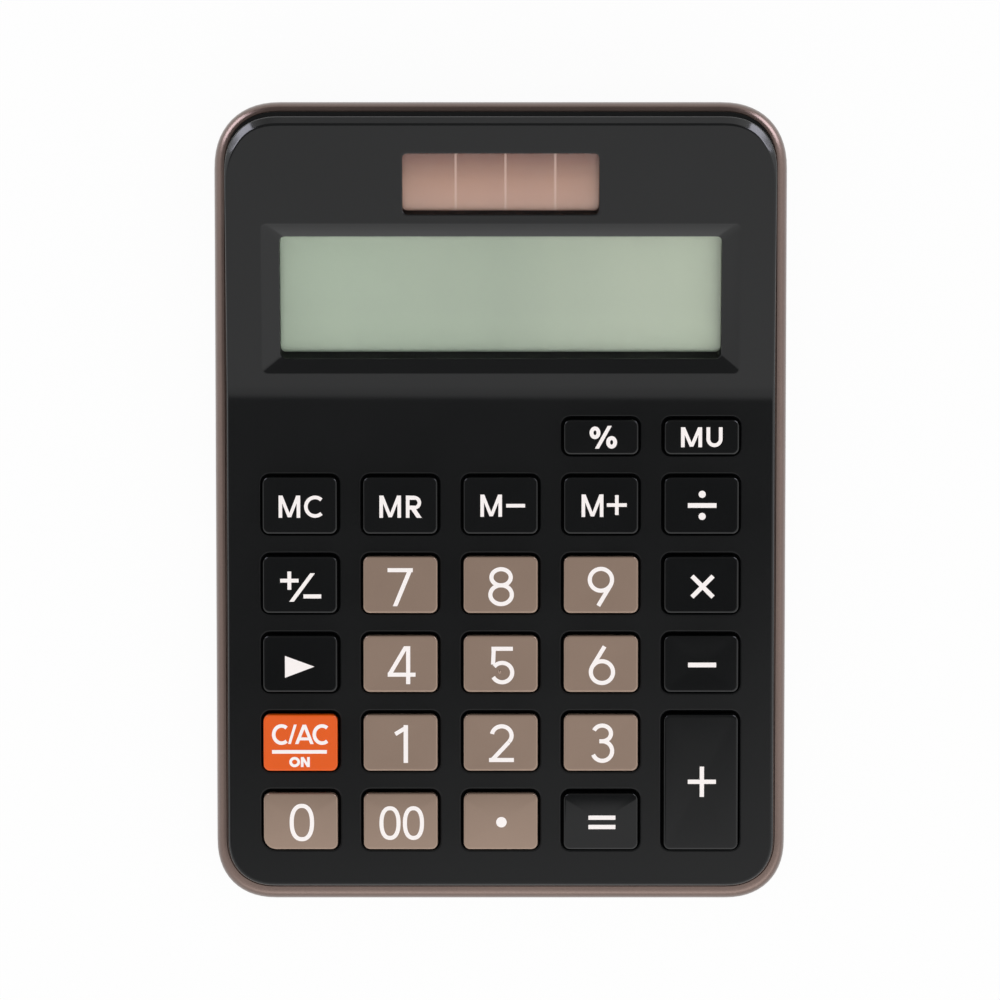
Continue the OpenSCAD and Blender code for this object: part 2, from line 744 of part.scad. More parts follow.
module board_capacitor() {
    can_r = 2.5;
    can_l = 7;
    color("#20242e") deck() translate([-column_x(3), board_rear - 9, board_z - can_r - 0.1])
        rotate([0, 90, 0]) {
            cylinder(can_l, r = can_r);
            translate([0, 0, -0.6]) cylinder(0.7, r = can_r - 0.4);
        }
}

// Small surface-mounted resistors and capacitors round the chip
module board_chips() {
    color("#b9ae98") deck() for (i = [-2 : 2])
        translate([i * 3.4 - 0.8, chip_y + 9, board_z - 0.62]) cube([1.6, 0.9, 0.6]);
}

// ---- power ----

module button_cell() {
    can = 0.6; // height of the step under the smaller, negative cap
    color("#c3c5c8") translate([cell_x, cell_y, cell_z]) {
        cylinder(cell_h - can, d = cell_d);
        cylinder(cell_h, d = cell_d - 1.6);
    }
}

// Leaf under the cup's top that presses the cell's negative cap
module cell_spring() {
    leaf_t = 0.25;
    base = cup_top - leaf_t - 0.05;
    tip = cell_z + cell_h + 0.02;
    color("#c9b26a") translate([cell_x, cell_y, 0]) {
        rotate([90, 0, 0]) translate([0, 0, -1.6]) linear_extrude(3.2) polygon([
            [-4.5, base], [-4.5, base + leaf_t], [4, base + leaf_t], [4, base],
            [-3.2, base], [1.6, tip + leaf_t], [3, tip + leaf_t], [3, tip], [1.4, tip]]);
        translate([-0.9, -leaf_t / 2, base]) cube([1.8, leaf_t, 1 + tab_h]);
    }
}

// Upright strip that touches the cell's rim, with a solder tab above the cup
module cell_strip() {
    color("#c9b26a") translate([cell_x + cell_d / 2 + 0.05, cell_y - strip_w / 2, cell_z + 0.4])
        cube([strip_t, strip_w, cup_top + 1 + tab_h - cell_z - 0.4]);
}

module battery_door() {
    color("#7d6a63") difference() {
        translate([door_x, cell_y, floor_z]) plate(door_w, door_l, door_r, door_t);
        translate([door_screw_x, cell_y, floor_z - past])
            cylinder(door_t + 2 * past, r = small_screw[0] + through_gap);
        translate([door_screw_x, cell_y, floor_z - past])
            cylinder(past + small_screw[3], r = small_screw[2] + through_gap);
    }
}

module door_screw() {
    color("#b8babd") translate([door_screw_x, cell_y, floor_z + small_screw[3] - 0.05]) screw(small_screw);
}

module rubber_feet() {
    color("#26272a") foot_places(0) cylinder(foot_stand + foot_sink - 0.02, d = foot_d);
}

module case_screws() {
    color("#b8babd") deck() for (p = case_places)
        translate([p.x, p.y, post_top(p) - seat_t - 0.02]) screw(case_screw);
}

// ---- leads ----

function cubic(p, t) = let (u = 1 - t)
    u * u * u * p[0] + 3 * u * u * t * p[1] + 3 * u * t * t * p[2] + t * t * t * p[3];
function unit(v) = v / norm(v);

// Round lead along a cubic curve through four control points
module lead(p) {
    line = [for (i = [0 : lead_steps]) cubic(p, i / lead_steps)];
    along = [for (i = [0 : lead_steps])
        unit(line[min(i + 1, lead_steps)] - line[max(i - 1, 0)])];
    rings = [for (i = [0 : lead_steps])
        let (a = unit(cross(along[i], [0.3, 0.2, 1])), b = cross(along[i], a))
            [for (j = [0 : lead_sides - 1])
                let (w = 360 * j / lead_sides) line[i] + lead_d / 2 * (cos(w) * a + sin(w) * b)]];
    n = lead_sides;
    sides = [for (i = [0 : lead_steps - 1], j = [0 : n - 1])
        [i * n + j, i * n + (j + 1) % n, (i + 1) * n + (j + 1) % n, (i + 1) * n + j]];
    polyhedron([for (r = rings, q = r) q], concat(
        [[for (j = [n - 1 : -1 : 0]) j]], sides, [[for (j = [0 : n - 1]) lead_steps * n + j]]));
}

function board_end(x) = [x, board_rear - 2.5, board_z - lead_d / 2 - 0.05];

// From the back of the solar cell, through its tray and under the display, to the board's rear edge
module solar_lead(i) {
    cell_end = [solar_lead_x[i], solar_y, solar_cell_z - 0.05];
    end = board_end(-board_lead_x[i]);
    lead([from_face(cell_end), from_face(cell_end + [0, 1, -20]), from_deck(end + [0, 22, -6]),
        from_deck(end)]);
}

module solar_lead_red() {
    color("#a02020") solar_lead(0);
}

module solar_lead_black() {
    color("#202022") solar_lead(1);
}

// From a contact's solder tab to the board's rear edge
module cell_lead(tab, i) {
    end = board_end(board_lead_x[i]);
    lead([tab, tab + [0, -8, 1], from_deck(end + [0, 8, -4]), from_deck(end)]);
}

module cell_lead_red() {
    tab = [cell_x + cell_d / 2 + strip_t / 2, cell_y - strip_w / 2 - lead_d / 2, cup_top + 2];
    color("#a02020") cell_lead(tab, 0);
}

module cell_lead_black() {
    color("#202022") cell_lead([cell_x, cell_y - lead_d / 2 - 0.2, cup_top + 2.4], 1);
}

upper_shell();
lower_shell();
display_window();
front_polariser();
front_glass();
rear_glass();
rear_reflector();
display_frame();
frame_screws();
display_ribbon();
solar_window();
solar_cell();
solar_pad();
solar_tray();
rubber_keypad();
contact_pills();
circuit_board();
chip_cap();
board_capacitor();
board_chips();
board_screws();
button_cell();
cell_spring();
cell_strip();
battery_door();
door_screw();
rubber_feet();
case_screws();
solar_lead_red();
solar_lead_black();
cell_lead_red();
cell_lead_black();
for (k = KEYS) {
    key(k);
}
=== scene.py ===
"""A two-way powered desk calculator: the looks of its shells, keys, legends, display and underside.

Sizes are in millimetres in the tables below and in metres once a mesh is made. Most shapes are drawn in the
key deck's own frame, which leans back by the angle that the keys' joints give; "along" runs from the front
edge to the rear over the deck, round the crease and over the display face, and "height" stands square to it.
"""

import json
import math

import bmesh
import bpy
import numpy as np
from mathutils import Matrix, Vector
from mathutils.geometry import delaunay_2d_cdt


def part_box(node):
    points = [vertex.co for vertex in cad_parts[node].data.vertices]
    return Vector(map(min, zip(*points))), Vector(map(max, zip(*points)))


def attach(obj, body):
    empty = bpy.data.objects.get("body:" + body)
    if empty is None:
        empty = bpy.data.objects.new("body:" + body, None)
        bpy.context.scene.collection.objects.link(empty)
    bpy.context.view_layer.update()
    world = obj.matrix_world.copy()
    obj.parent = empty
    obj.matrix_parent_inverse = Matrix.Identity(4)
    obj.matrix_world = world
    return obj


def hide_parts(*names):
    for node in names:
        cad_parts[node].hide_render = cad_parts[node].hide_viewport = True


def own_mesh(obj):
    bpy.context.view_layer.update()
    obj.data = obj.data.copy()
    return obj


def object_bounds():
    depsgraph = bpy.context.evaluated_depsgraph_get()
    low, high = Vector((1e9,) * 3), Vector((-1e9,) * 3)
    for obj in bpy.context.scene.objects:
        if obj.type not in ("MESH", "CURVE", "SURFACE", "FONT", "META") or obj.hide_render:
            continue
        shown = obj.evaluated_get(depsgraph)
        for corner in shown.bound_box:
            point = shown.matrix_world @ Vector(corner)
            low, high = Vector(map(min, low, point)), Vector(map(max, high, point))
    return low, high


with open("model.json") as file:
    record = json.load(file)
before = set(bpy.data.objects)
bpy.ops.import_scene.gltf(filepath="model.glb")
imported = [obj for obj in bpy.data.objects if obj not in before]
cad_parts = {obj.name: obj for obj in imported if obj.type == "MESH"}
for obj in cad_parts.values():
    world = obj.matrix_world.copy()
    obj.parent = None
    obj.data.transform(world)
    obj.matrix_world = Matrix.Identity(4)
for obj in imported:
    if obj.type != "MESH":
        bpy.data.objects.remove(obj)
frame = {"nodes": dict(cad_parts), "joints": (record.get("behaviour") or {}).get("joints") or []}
cad_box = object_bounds()
MM = 0.001

# ---- sizes of the body, in millimetres ----

BODY_L = (cad_box[1].y - cad_box[0].y) / MM
BODY_W = (cad_box[1].x - cad_box[0].x) / MM
JOINTS = {j["child"]: j for j in frame["joints"]}
TILT = math.atan2(-JOINTS["key_5"]["axis"][1], JOINTS["key_5"]["axis"][2])
FACE_TILT = math.radians(7.5)
FACE_L = 49.6
CREASE_R = 25.0
WALL = 1.8
SHELL_SIDE = 2.2  # insets of the upper shell's foot from the body's sides, front and rear
SHELL_FRONT = 2.9
SHELL_REAR = 1.8
SHELL_R = 10.0
HOLLOW_R = 6.5  # corner of the upper shell's hollow under its roof
SPAN = BODY_L / math.cos(TILT)
FACE_REAR = 4.6  # from the display face's rear edge to the deck line's end
CREASE = SPAN / 2 - FACE_REAR - FACE_L * math.cos(FACE_TILT)
CREASE_RUN = CREASE_R * math.tan(FACE_TILT / 2)
PARTING = -4.5
WAIST = -7.5
FLOOR = 1.0

shell_lo, shell_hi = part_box("upper_shell")
DECK_Y = shell_lo.y / MM + (SPAN / 2 - SHELL_FRONT) * math.cos(TILT) + PARTING * math.sin(TILT)
DECK_Z = shell_hi.z / MM - CREASE * math.sin(TILT) - FACE_L * math.sin(TILT + FACE_TILT)

# Upper shell: rim line, the chamfer behind the display and the parting line
RIM_HALF = BODY_W / 2 - 2.55
RIM_FRONT = -SPAN / 2 + 3.4
RIM_REAR = CREASE + FACE_L + 1.7
RIM_R = 9.9
EDGE_R = 0.4
CHAMFER = (1.2, 1.6)  # (run, fall) of the chamfer
CHAMFER_FROM = 12.5  # where it starts and where it is full, measured from the rim's rear
CHAMFER_TO = 3.5
LIP = 0.25  # height of the shell's lower edge over the parting line
LEDGE = ((0.0, 0.55), (0.03, 0.3), (0.12, 0.12), (0.3, 0.04))  # (share of the way out, height) of the ledge
TUCK = 0.12  # the small step under the lower edge: how far in, and its height over the parting line
TUCK_RISE = 0.06

# Display recess and solar opening, on the display face
RECESS_L = 27.6
RECESS_W = BODY_W - 2 * 9.15 - 0.1
RECESS_R = 0.9
BEVEL_DEPTH = 1.15
BEVEL_X = 3.2
BEVEL_Y = 2.44
BEVEL_EDGE = 0.3  # run of the rounding between the face and the bevel
RECESS_FOOT = 0.8  # how far the front wall under the bevel leans in over the window
OPENING_R = 1.0
RECESS_Y = CREASE + 4.1 + RECESS_L / 2
WELL_DEPTH = 4.0
SOLAR_W = 36.0
SOLAR_L = 11.1
SOLAR_Y = CREASE + FACE_L - 4.9 - SOLAR_L / 2
SOLAR_R = 0.9
SOLAR_EDGE = 0.22
SOLAR_FOOT = 0.4  # how far the front wall leans in under the opening
BLOCK = (1.0, 0.6, 1.5)  # the well seen from inside: less wide, more long than the recess, and its corners

# Keys
KEY_RISE = 2.3
KEY_GAP = 0.32
KEY_R = 1.2
ZERO_R = 2.3
KEY_WALL = 1.2
CAVITY_R = 0.6
HOLE_EDGE = 0.32  # rounding of a key hole's edge
FLANGE = 0.9
FLANGE_TOP = -1.9
FLANGE_FOOT = -2.8
POST_FOOT = -3.55
POST_R = 1.5
KEY_SOFT = 0.3  # rounding of a key's top edge
SKIRT = 0.6  # height up to which a key's sides are the dark first shot of plastic, darkened further as painted shade
DISH = 0.02
FRONT_FALL = 0.42  # twice what the front row's keys fall by at their front edges
FRONT_ROW = ("key_0", "key_00", "key_point", "key_equals")

CORNER = 14  # steps round a shell's corner
CORNER_R = 12.4  # run of the body's rear corners along its widest line
CORNER_LESS = 1.2  # how much shorter the front corners are
CORNER_POWER = 2.28  # 2 is a circle, and more is squarer
HOLE_CORNER = 6  # steps round a key hole's corner
GUARD = 0.18  # flat border kept round each fillet, so that the flats stay flat when shaded smooth


# ---- points, loops and frames ----


def arc(x, y, r, start, end, steps):
    """Points on a circle of radius r round (x, y), evenly from one angle in degrees to the other."""
    a = np.radians(np.linspace(start, end, steps + 1))
    return np.stack([x + r * np.cos(a), y + r * np.sin(a)], -1)


def superoval(a, power):
    """(u, v) on the curve |u|^power + |v|^power = 1: cosine and sine to the power 2 / power, signs kept."""
    return tuple(np.sign(t) * np.abs(t) ** (2 / power) for t in (np.cos(a), np.sin(a)))


def corner(x, y, r, start):
    """A soft corner: a quarter of a superoval of radius r round (x, y), anticlockwise from an angle."""
    u, v = superoval(np.radians(np.linspace(start, start + 90, CORNER + 1)), CORNER_POWER)
    return np.stack([x + r * u, y + r * v], -1)


def outline(half, front, rear, r, rows=()):
    """The body's outline anticlockwise from its front right corner, with points at rows up its sides."""
    f = r - CORNER_LESS
    right = np.array([(half, y) for y in rows]).reshape(-1, 2)
    return np.concatenate([
        corner(half - f, front + f, f, -90),
        right,
        corner(half - r, rear - r, r, 0),
        corner(r - half, rear - r, r, 90),
        (right * (-1, 1))[::-1],
        corner(f - half, front + f, f, 180),
    ])


def outward(loop):
    """Unit normals of a loop in its plane: the line between each point's neighbours, turned a quarter."""
    along = np.roll(loop, -1, 0) - np.roll(loop, 1, 0)
    along /= np.linalg.norm(along, axis=1)[:, None]
    return np.stack([along[:, 1], -along[:, 0]], -1)


def box_loop(hole, grow=0.0):
    """The loop of a rounded rectangle (x, y, width, length, radii) with its edge moved out by grow.

    The radii are one number, or four from the front right corner anticlockwise."""
    x, y, w, l, radii = hole
    r = np.broadcast_to(np.asarray(radii, float), 4) + grow
    w, l = w / 2 + grow, l / 2 + grow
    return np.concatenate([
        arc(x + w - r[0], y - l + r[0], r[0], -90, 0, HOLE_CORNER),
        arc(x + w - r[1], y + l - r[1], r[1], 0, 90, HOLE_CORNER),
        arc(x - w + r[2], y + l - r[2], r[2], 90, 180, HOLE_CORNER),
        arc(x - w + r[3], y - l + r[3], r[3], 180, 270, HOLE_CORNER),
    ])


def disc(x, y, r):
    """A circle as a rounded rectangle."""
    return (x, y, 2 * r, 2 * r, r)


def widened(hole, by):
    """A rounded rectangle with its edge moved out."""
    x, y, w, l, radii = hole
    radii = np.broadcast_to(np.asarray(radii, float), 4) + by
    return (x, y, w + 2 * by, l + 2 * by, tuple(radii))


def in_box(points, hole):
    """True where a point lies inside a rounded rectangle: its signed distance to the edge is below zero.

    The distance is measured with the radius of the corner in the point's own quarter."""
    x, y, w, l, radii = hole
    p = points - (x, y)
    quarter = np.where(p[:, 0] > 0, np.where(p[:, 1] > 0, 1, 0), np.where(p[:, 1] > 0, 2, 3))
    r = np.broadcast_to(np.asarray(radii, float), 4)[quarter]
    q = np.abs(p) - (w / 2, l / 2) + r[:, None]
    far = np.linalg.norm(np.maximum(q, 0), axis=1) + np.minimum(q.max(1), 0) - r
    return far < -1e-4


def lift(loop, z):
    """Plane points given a height each, or one height for all."""
    return np.column_stack([loop, np.broadcast_to(z, len(loop))])


def bend(p):
    """Points (x, along, height) in the deck's frame: flat, round the crease on an arc, then flat on the face.

    The arc's angle grows evenly from 0 to the face's lean, and height is taken along the surface's normal."""
    start = CREASE - CREASE_RUN
    a = np.clip((p[:, 1] - start) / (2 * CREASE_RUN), 0, 1) * FACE_TILT
    before = np.minimum(p[:, 1] - start, 0)
    after = np.maximum(p[:, 1] - CREASE - CREASE_RUN, 0)
    y = start + before + CREASE_R * np.sin(a) + after * math.cos(FACE_TILT) - p[:, 2] * np.sin(a)
    z = CREASE_R * (1 - np.cos(a)) + after * math.sin(FACE_TILT) + p[:, 2] * np.cos(a)
    return np.column_stack([p[:, 0], y, z])


def over(loop, z):
    """Plane points at a height over the deck, round its crease and over the display face."""
    return bend(lift(loop, z))


def carried(hole, profile, shape=lift):
    """Rings of a profile of (outward, height) carried round a rounded rectangle."""
    return [shape(box_loop(hole, out), z) for out, z in profile]


def deck_to_world(p):
    """Points in the deck's frame, leaned back and moved to their place in the body's frame."""
    c, s = math.cos(TILT), math.sin(TILT)
    return np.column_stack([p[:, 0], p[:, 1] * c - p[:, 2] * s + DECK_Y, p[:, 1] * s + p[:, 2] * c + DECK_Z])


def unmoved(p):
    """Points that are already in the body's frame."""
    return p


# ---- meshes ----


def in_scene(name, data):
    """A new object in the scene."""
    piece = bpy.data.objects.new(name, data)
    bpy.context.scene.collection.objects.link(piece)
    return piece


def weld(mesh, near, face_up=False):
    """Merges points of a mesh nearer than a distance and turns its faces outwards, or all of them up."""
    made = bmesh.new()
    made.from_mesh(mesh)
    bmesh.ops.remove_doubles(made, verts=made.verts, dist=near)
    bmesh.ops.recalc_face_normals(made, faces=made.faces)
    made.normal_update()
    if face_up and sum(face.normal.z for face in made.faces) < 0:
        bmesh.ops.reverse_faces(made, faces=made.faces)
    made.to_mesh(mesh)
    made.free()


class Surface:
    """Collects rings, caps and filled outlines of one piece, then welds them into a closed mesh."""

    def __init__(self, place=deck_to_world):
        self.place = place
        self.points = []
        self.faces = []
        self.painted_shade = []
        self.count = 0

    def add(self, points, faces, painted_shade=False):
        """Adds points and the faces between them, in the painted shade wall's finish where painted shade is
        asked for.
        """
        self.points.append(self.place(points))
        self.faces.extend((np.asarray(f) + self.count).tolist() for f in faces)
        self.painted_shade.extend([int(painted_shade)] * len(faces))
        self.count += len(points)

    def rings(self, rings, cap_first=False, cap_last=False, painted_shade=False):
        """Four-sided faces between each closed ring of points and the next, and a flat face over an end."""
        k, n = len(rings), len(rings[0])
        i = np.arange(k - 1)[:, None] * n
        j = np.arange(n)[None, :]
        nxt = (j + 1) % n
        faces = list(np.stack([i + j, i + nxt, i + n + nxt, i + n + j], -1).reshape(-1, 4))
        if cap_first:
            faces.append(np.arange(n)[::-1])
        if cap_last:
            faces.append(np.arange(n) + (k - 1) * n)
        self.add(np.concatenate(rings), faces, painted_shade)

    def patch(self, outer, holes, z, rows=(), shape=lift):
        """Fills an outline at a height with triangles, but not its holes; edges run across at the rows."""
        loops = [outer] + [box_loop(h) for h in holes]
        flat = np.concatenate(loops)
        edges, first = [], 0
        for loop in loops:
            n = np.arange(len(loop))
            edges.append(np.stack([first + n, first + (n + 1) % len(loop)], -1))
            first += len(loop)
        for row in rows:
            pair = np.flatnonzero(np.abs(outer[:, 1] - row) < 1e-6)
            edges.append(pair[[0, -1]][None, :])
        edges = np.concatenate(edges).tolist()
        found = delaunay_2d_cdt(flat.tolist(), edges, [list(range(len(outer)))], 1, 1e-6)
        points = np.array([tuple(v) for v in found[0]])
        faces = np.array([f for f in found[2]])
        middle = points[faces].mean(1)
        open_ = np.zeros(len(faces), bool)
        for h in holes:
            open_ |= in_box(middle, h)
        self.add(shape(points, z), list(faces[~open_]))

    def finish(self, name, body, slot, material, replaces, angle=35.0):
        """The finished piece: doubles merged, normals outwards, shaded smooth between its sharp edges."""
        mesh = bpy.data.meshes.new(name)
        mesh.from_pydata((np.concatenate(self.points) * MM).tolist(), [], self.faces)
        mesh.polygons.foreach_set("material_index", self.painted_shade)
        weld(mesh, 2e-7)
        mesh.shade_smooth()
        mesh.set_sharp_from_angle(angle=math.radians(angle))
        mesh.materials.append(material)
        # Faces marked for painted shade get the darker, duller black
        if any(self.painted_shade):
            mesh.materials.append(PAINTED_SHADE_WALL)
        piece = in_scene(name, mesh)
        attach(piece, body)
        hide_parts(*replaces)
        return piece


def fillet(r, steps=5):
    """(outward, height) of a rounded edge that turns from a flat top into a wall down its hole.

    The first row is the guard, on the flat; then a quarter circle, r (1 - sin) out, r (1 - cos) down."""
    a = np.linspace(0, math.pi / 2, steps + 1)
    curve = np.stack([r * (1 - np.sin(a)), -r * (1 - np.cos(a))], -1)
    return np.concatenate([[(r + GUARD, 0)], curve])


def softened(points, r, steps):
    """A line of points with each inner corner cut by a short curve that starts and ends r away from it.

    The curve is (1 - t) squared of its start, 2 t (1 - t) of the corner and t squared of its end."""
    points = np.asarray(points, float)
    out = [points[0]]
    t = np.linspace(0, 1, steps + 1)[:, None]
    for before, at, after, size in zip(points, points[1:], points[2:], r):
        a = at + (before - at) / np.linalg.norm(before - at) * size
        b = at + (after - at) / np.linalg.norm(after - at) * size
        out.extend((1 - t) ** 2 * a + 2 * t * (1 - t) * at + t ** 2 * b)
    return np.array(out + [points[-1]])


# ---- materials ----


def tone(r, g, b):
    """A display colour from 0 to 255 as linear light: the usual curve with a short straight foot."""
    c = np.array([r, g, b]) / 255
    c = np.where(c <= 0.04045, c / 12.92, ((c + 0.055) / 1.055) ** 2.4)
    return tuple(float(v) for v in c) + (1.0,)


def grey(v):
    """A level of linear light without a tint."""
    return (v, v, v, 1.0)


def scaled(colour, by):
    """A linear colour made darker or lighter, up to full light."""
    return tuple(min(1.0, v * by) for v in colour[:3]) + (1.0,)


class Wiring:
    """Short ways to add nodes to a tree. A value is a number, a colour or the output that feeds the input."""

    def __init__(self, tree, space="Object"):
        self.nodes = tree.nodes
        self.links = tree.links
        self.coords = self.node("TexCoord").outputs[space]

    def feed(self, socket, value):
        """Sets an input, or joins it to the output that feeds it."""
        if isinstance(value, bpy.types.NodeSocket):
            self.links.new(value, socket)
        else:
            socket.default_value = value

    def node(self, kind, **inputs):
        """A new node with the inputs given by name."""
        made = self.nodes.new("ShaderNode" + kind)
        for key, value in inputs.items():
            self.feed(made.inputs[key], value)
        return made

    def axes(self):
        """A point's X, Y and Z."""
        return self.node("SeparateXYZ", Vector=self.coords).outputs

    def noise(self, scale, detail=2.0, roughness=0.5, stretch=None):
        """Noise over the piece, drawn out along an axis where that axis has a small stretch."""
        made = self.node("TexNoise", Scale=scale, Detail=detail, Roughness=roughness)
        source = self.coords
        if stretch:
            source = self.node("Mapping", Vector=source, Scale=stretch).outputs["Vector"]
        self.feed(made.inputs["Vector"], source)
        return made.outputs["Fac"]

    def ramp(self, value, stops):
        """A colour from a value, by (place, colour) stops."""
        made = self.node("ValToRGB", Fac=value)
        elements = made.color_ramp.elements
        while len(elements) < len(stops):
            elements.new(0.5)
        for element, (place, colour) in zip(elements, stops):
            element.position = place
            element.color = colour
        return made.outputs["Color"]

    def spread(self, value, low, high, to_low, to_high):
        """A value carried from one range to another, and held at its ends."""
        ends = {"From Min": low, "From Max": high, "To Min": to_low, "To Max": to_high}
        return self.node("MapRange", Value=value, **ends).outputs["Result"]

    def math(self, kind, *values):
        """Arithmetic on one or two values."""
        made = self.node("Math")
        made.operation = kind
        for socket, value in zip(made.inputs, values):
            self.feed(socket, value)
        return made.outputs["Value"]

    def mix(self, share, a, b, blend="MIX"):
        """Two colours mixed, or multiplied."""
        made = self.node("Mix")
        made.data_type = "RGBA"
        made.blend_type = blend
        for index, value in ((0, share), (6, a), (7, b)):  # the colour sockets go by number, as names repeat
            self.feed(made.inputs[index], value)
        return made.outputs[2]

    def blend(self, share, a, b):
        """Two shaders mixed."""
        made = self.node("MixShader", Fac=share)
        self.feed(made.inputs[1], a)
        self.feed(made.inputs[2], b)
        return made.outputs["Shader"]


class Finish(Wiring):
    """A material on Object coordinates: a colour that varies a little, roughness that varies, and a grain."""

    def __init__(self, name, roughness=0.4, metallic=0.0, coat=0.0, coat_rough=0.1, ior=1.46):
        self.material = bpy.data.materials.new(name)
        self.material.use_nodes = True
        super().__init__(self.material.node_tree)
        self.shader = self.nodes["Principled BSDF"]
        self.set("Roughness", roughness)
        self.set("Metallic", metallic)
        self.set("IOR", ior)
        if coat:
            self.set("Coat Weight", coat)
            self.set("Coat Roughness", coat_rough)

    def set(self, key, value):
        """Sets or joins an input of the plastic, metal or lacquer itself."""
        self.feed(self.shader.inputs[key], value)

    def rough(self, value, low, high):
        """Roughness from low to high as a noise goes from its dark to its light parts."""
        self.set("Roughness", self.spread(value, 0.3, 0.7, low, high))

    def bump(self, value, depth):
        """A relief of the given depth in millimetres."""
        made = self.node("Bump", Strength=1.0, Distance=depth * MM, Height=value)
        self.set("Normal", made.outputs["Normal"])

    def surface(self, shader):
        """Gives the material a shader in place of its own."""
        self.feed(self.nodes["Material Output"].inputs["Surface"], shader)


def moulded(name, colour, roughness, grain, depth, vary, **kind):
    """Moulded plastic: a fine even grain, faint cloudy changes of tone and of shine, and a little dust."""
    made = Finish(name, **kind)
    cloud = made.noise(55.0, 3.0)
    fine = made.noise(grain, 2.0, 0.6)
    darker, lighter = scaled(colour, 1 - vary), scaled(colour, 1 + vary)
    blotch = made.ramp(cloud, [(0.3, darker), (0.7, lighter)])
    speck = made.ramp(fine, [(0.35, darker), (0.65, lighter)])
    made.set("Base Color", made.mix(0.35, blotch, speck))
    made.rough(made.mix(0.5, cloud, fine), *roughness)
    made.bump(fine, depth)
    return made.material


# Painted shade: a darker, duller black than the shell for the walls down holes and wells and for the keys'
# lower sides, where shade falls
PAINTED_SHADE_WALL = moulded("matt_black_painted_shade_wall", tone(9, 9, 10), (0.5, 0.65), 1800.0, 0.004, 0.10, ior=1.2)
BLACK_SHELL = moulded("black_shell", tone(12, 13, 14), (0.13, 0.17), 3000.0, 0.0008, 0.10)
BLACK_KEY = moulded("black_key", tone(10, 11, 12), (0.08, 0.11), 3400.0, 0.0004, 0.10)
TAUPE_KEY = moulded("taupe_key", tone(155, 133, 118), (0.15, 0.19), 3400.0, 0.0005, 0.03, metallic=0.36)
ORANGE_KEY = moulded("orange_key", tone(228, 89, 0), (0.20, 0.26), 3400.0, 0.0006, 0.03)
LEGEND = moulded("legend_ink", tone(250, 243, 241), (0.45, 0.6), 5200.0, 0.0015, 0.02)
RUBBER = moulded("foot_rubber_black", tone(30, 30, 31), (0.7, 0.85), 2200.0, 0.01, 0.12)
INNER = moulded("inner_black", tone(34, 34, 36), (0.45, 0.6), 1800.0, 0.006, 0.10)


def bronze():
    """Satin bronze lacquer over plastic: fine metal flakes, soft clouding and a thin clear coat."""
    made = Finish("bronze_lacquer", roughness=0.30, metallic=0.8, coat=0.2, coat_rough=0.15)
    cloud = made.noise(45.0, 3.0)
    flake = made.node("TexVoronoi", Vector=made.coords, Scale=9000.0)
    sparkle = made.ramp(flake.outputs["Color"], [(0.2, tone(104, 88, 82)), (0.8, tone(124, 106, 98))])
    base = made.ramp(cloud, [(0.3, tone(108, 91, 85)), (0.7, tone(120, 102, 95))])
    made.set("Base Color", made.mix(0.5, base, sparkle))
    made.rough(cloud, 0.27, 0.34)
    made.bump(made.noise(4200.0, 2.0), 0.0015)
    return made.material


BRONZE = bronze()

# ---- upper shell ----

CREASE_ROWS = np.linspace(CREASE - CREASE_RUN, CREASE + CREASE_RUN, 9)
REAR_ROWS = np.linspace(52.0, RIM_REAR - RIM_R - 0.4, 9)
SIDE_ROWS = np.concatenate([[-45.0, -20.0, 5.0], CREASE_ROWS, [30.0, 42.0], REAR_ROWS])  # points up the sides

KEY_NODES = sorted(n for n in frame["nodes"] if n.startswith("key_"))


def key_hull(node):
    """A key's (x, along, width, length) in the deck's frame, from its box: its flange is its widest part.

    The tilt makes the flange's top the front edge of the box and the flange's foot its rear edge."""
    lo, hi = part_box(node)
    c, s = math.cos(TILT), math.sin(TILT)
    front = (lo.y / MM - DECK_Y + FLANGE_TOP * s) / c + FLANGE
    rear = (hi.y / MM - DECK_Y + FLANGE_FOOT * s) / c - FLANGE
    width = (hi.x - lo.x) / MM - 2 * FLANGE
    return ((hi.x + lo.x) / 2 / MM, (front + rear) / 2, width, rear - front)


KEYS = {node: key_hull(node) for node in KEY_NODES}


def key_radii(node):
    """Corner radii from the front right anticlockwise; the zero key follows the shell's front left corner."""
    return (KEY_R, KEY_R, KEY_R, ZERO_R if node == "key_0" else KEY_R)


def key_hole(node):
    """The opening in the deck round a key."""
    return widened(KEYS[node] + (key_radii(node),), KEY_GAP)


def chamfer_share(along):
    """How far the rim has turned into the rear chamfer: a smooth step, t t (3 - 2 t), along the body."""
    t = np.clip((along - (RIM_REAR - CHAMFER_FROM)) / (CHAMFER_FROM - CHAMFER_TO), 0, 1)
    return t * t * (3 - 2 * t)


def rim_rings(base):
    """The rim as a profile carried round the outline: a round edge that grows into a chamfer at the rear."""
    side = outward(base)
    share = chamfer_share(base[:, 1])[:, None]
    late = share[:, 0] ** 1.4  # the fall follows the run a little late
    plain = fillet(EDGE_R, 7)[1:]
    run, drop = CHAMFER
    slope = softened([(run + 0.25, 0), (run, 0), (0, -drop), (0, -drop - 0.3)], (0.16, 0.1), 2)[1:-1]
    flat = slope[3] - slope[2]  # the chamfer itself, which gets a guard point near either end
    slope = np.insert(slope, 3, [slope[2] + flat * 0.1, slope[2] + flat * 0.9], axis=0)
    made = []
    for (plain_in, plain_z), (slope_in, slope_z) in zip(plain, slope):
        inset = plain_in + (slope_in - plain_in) * share
        made.append(lift(base - side * inset, plain_z + (slope_z - plain_z) * late))
    border = base - side * (plain[0][0] + (slope[0][0] - plain[0][0]) * share + GUARD)
    return [lift(border, 0.0)] + made, border


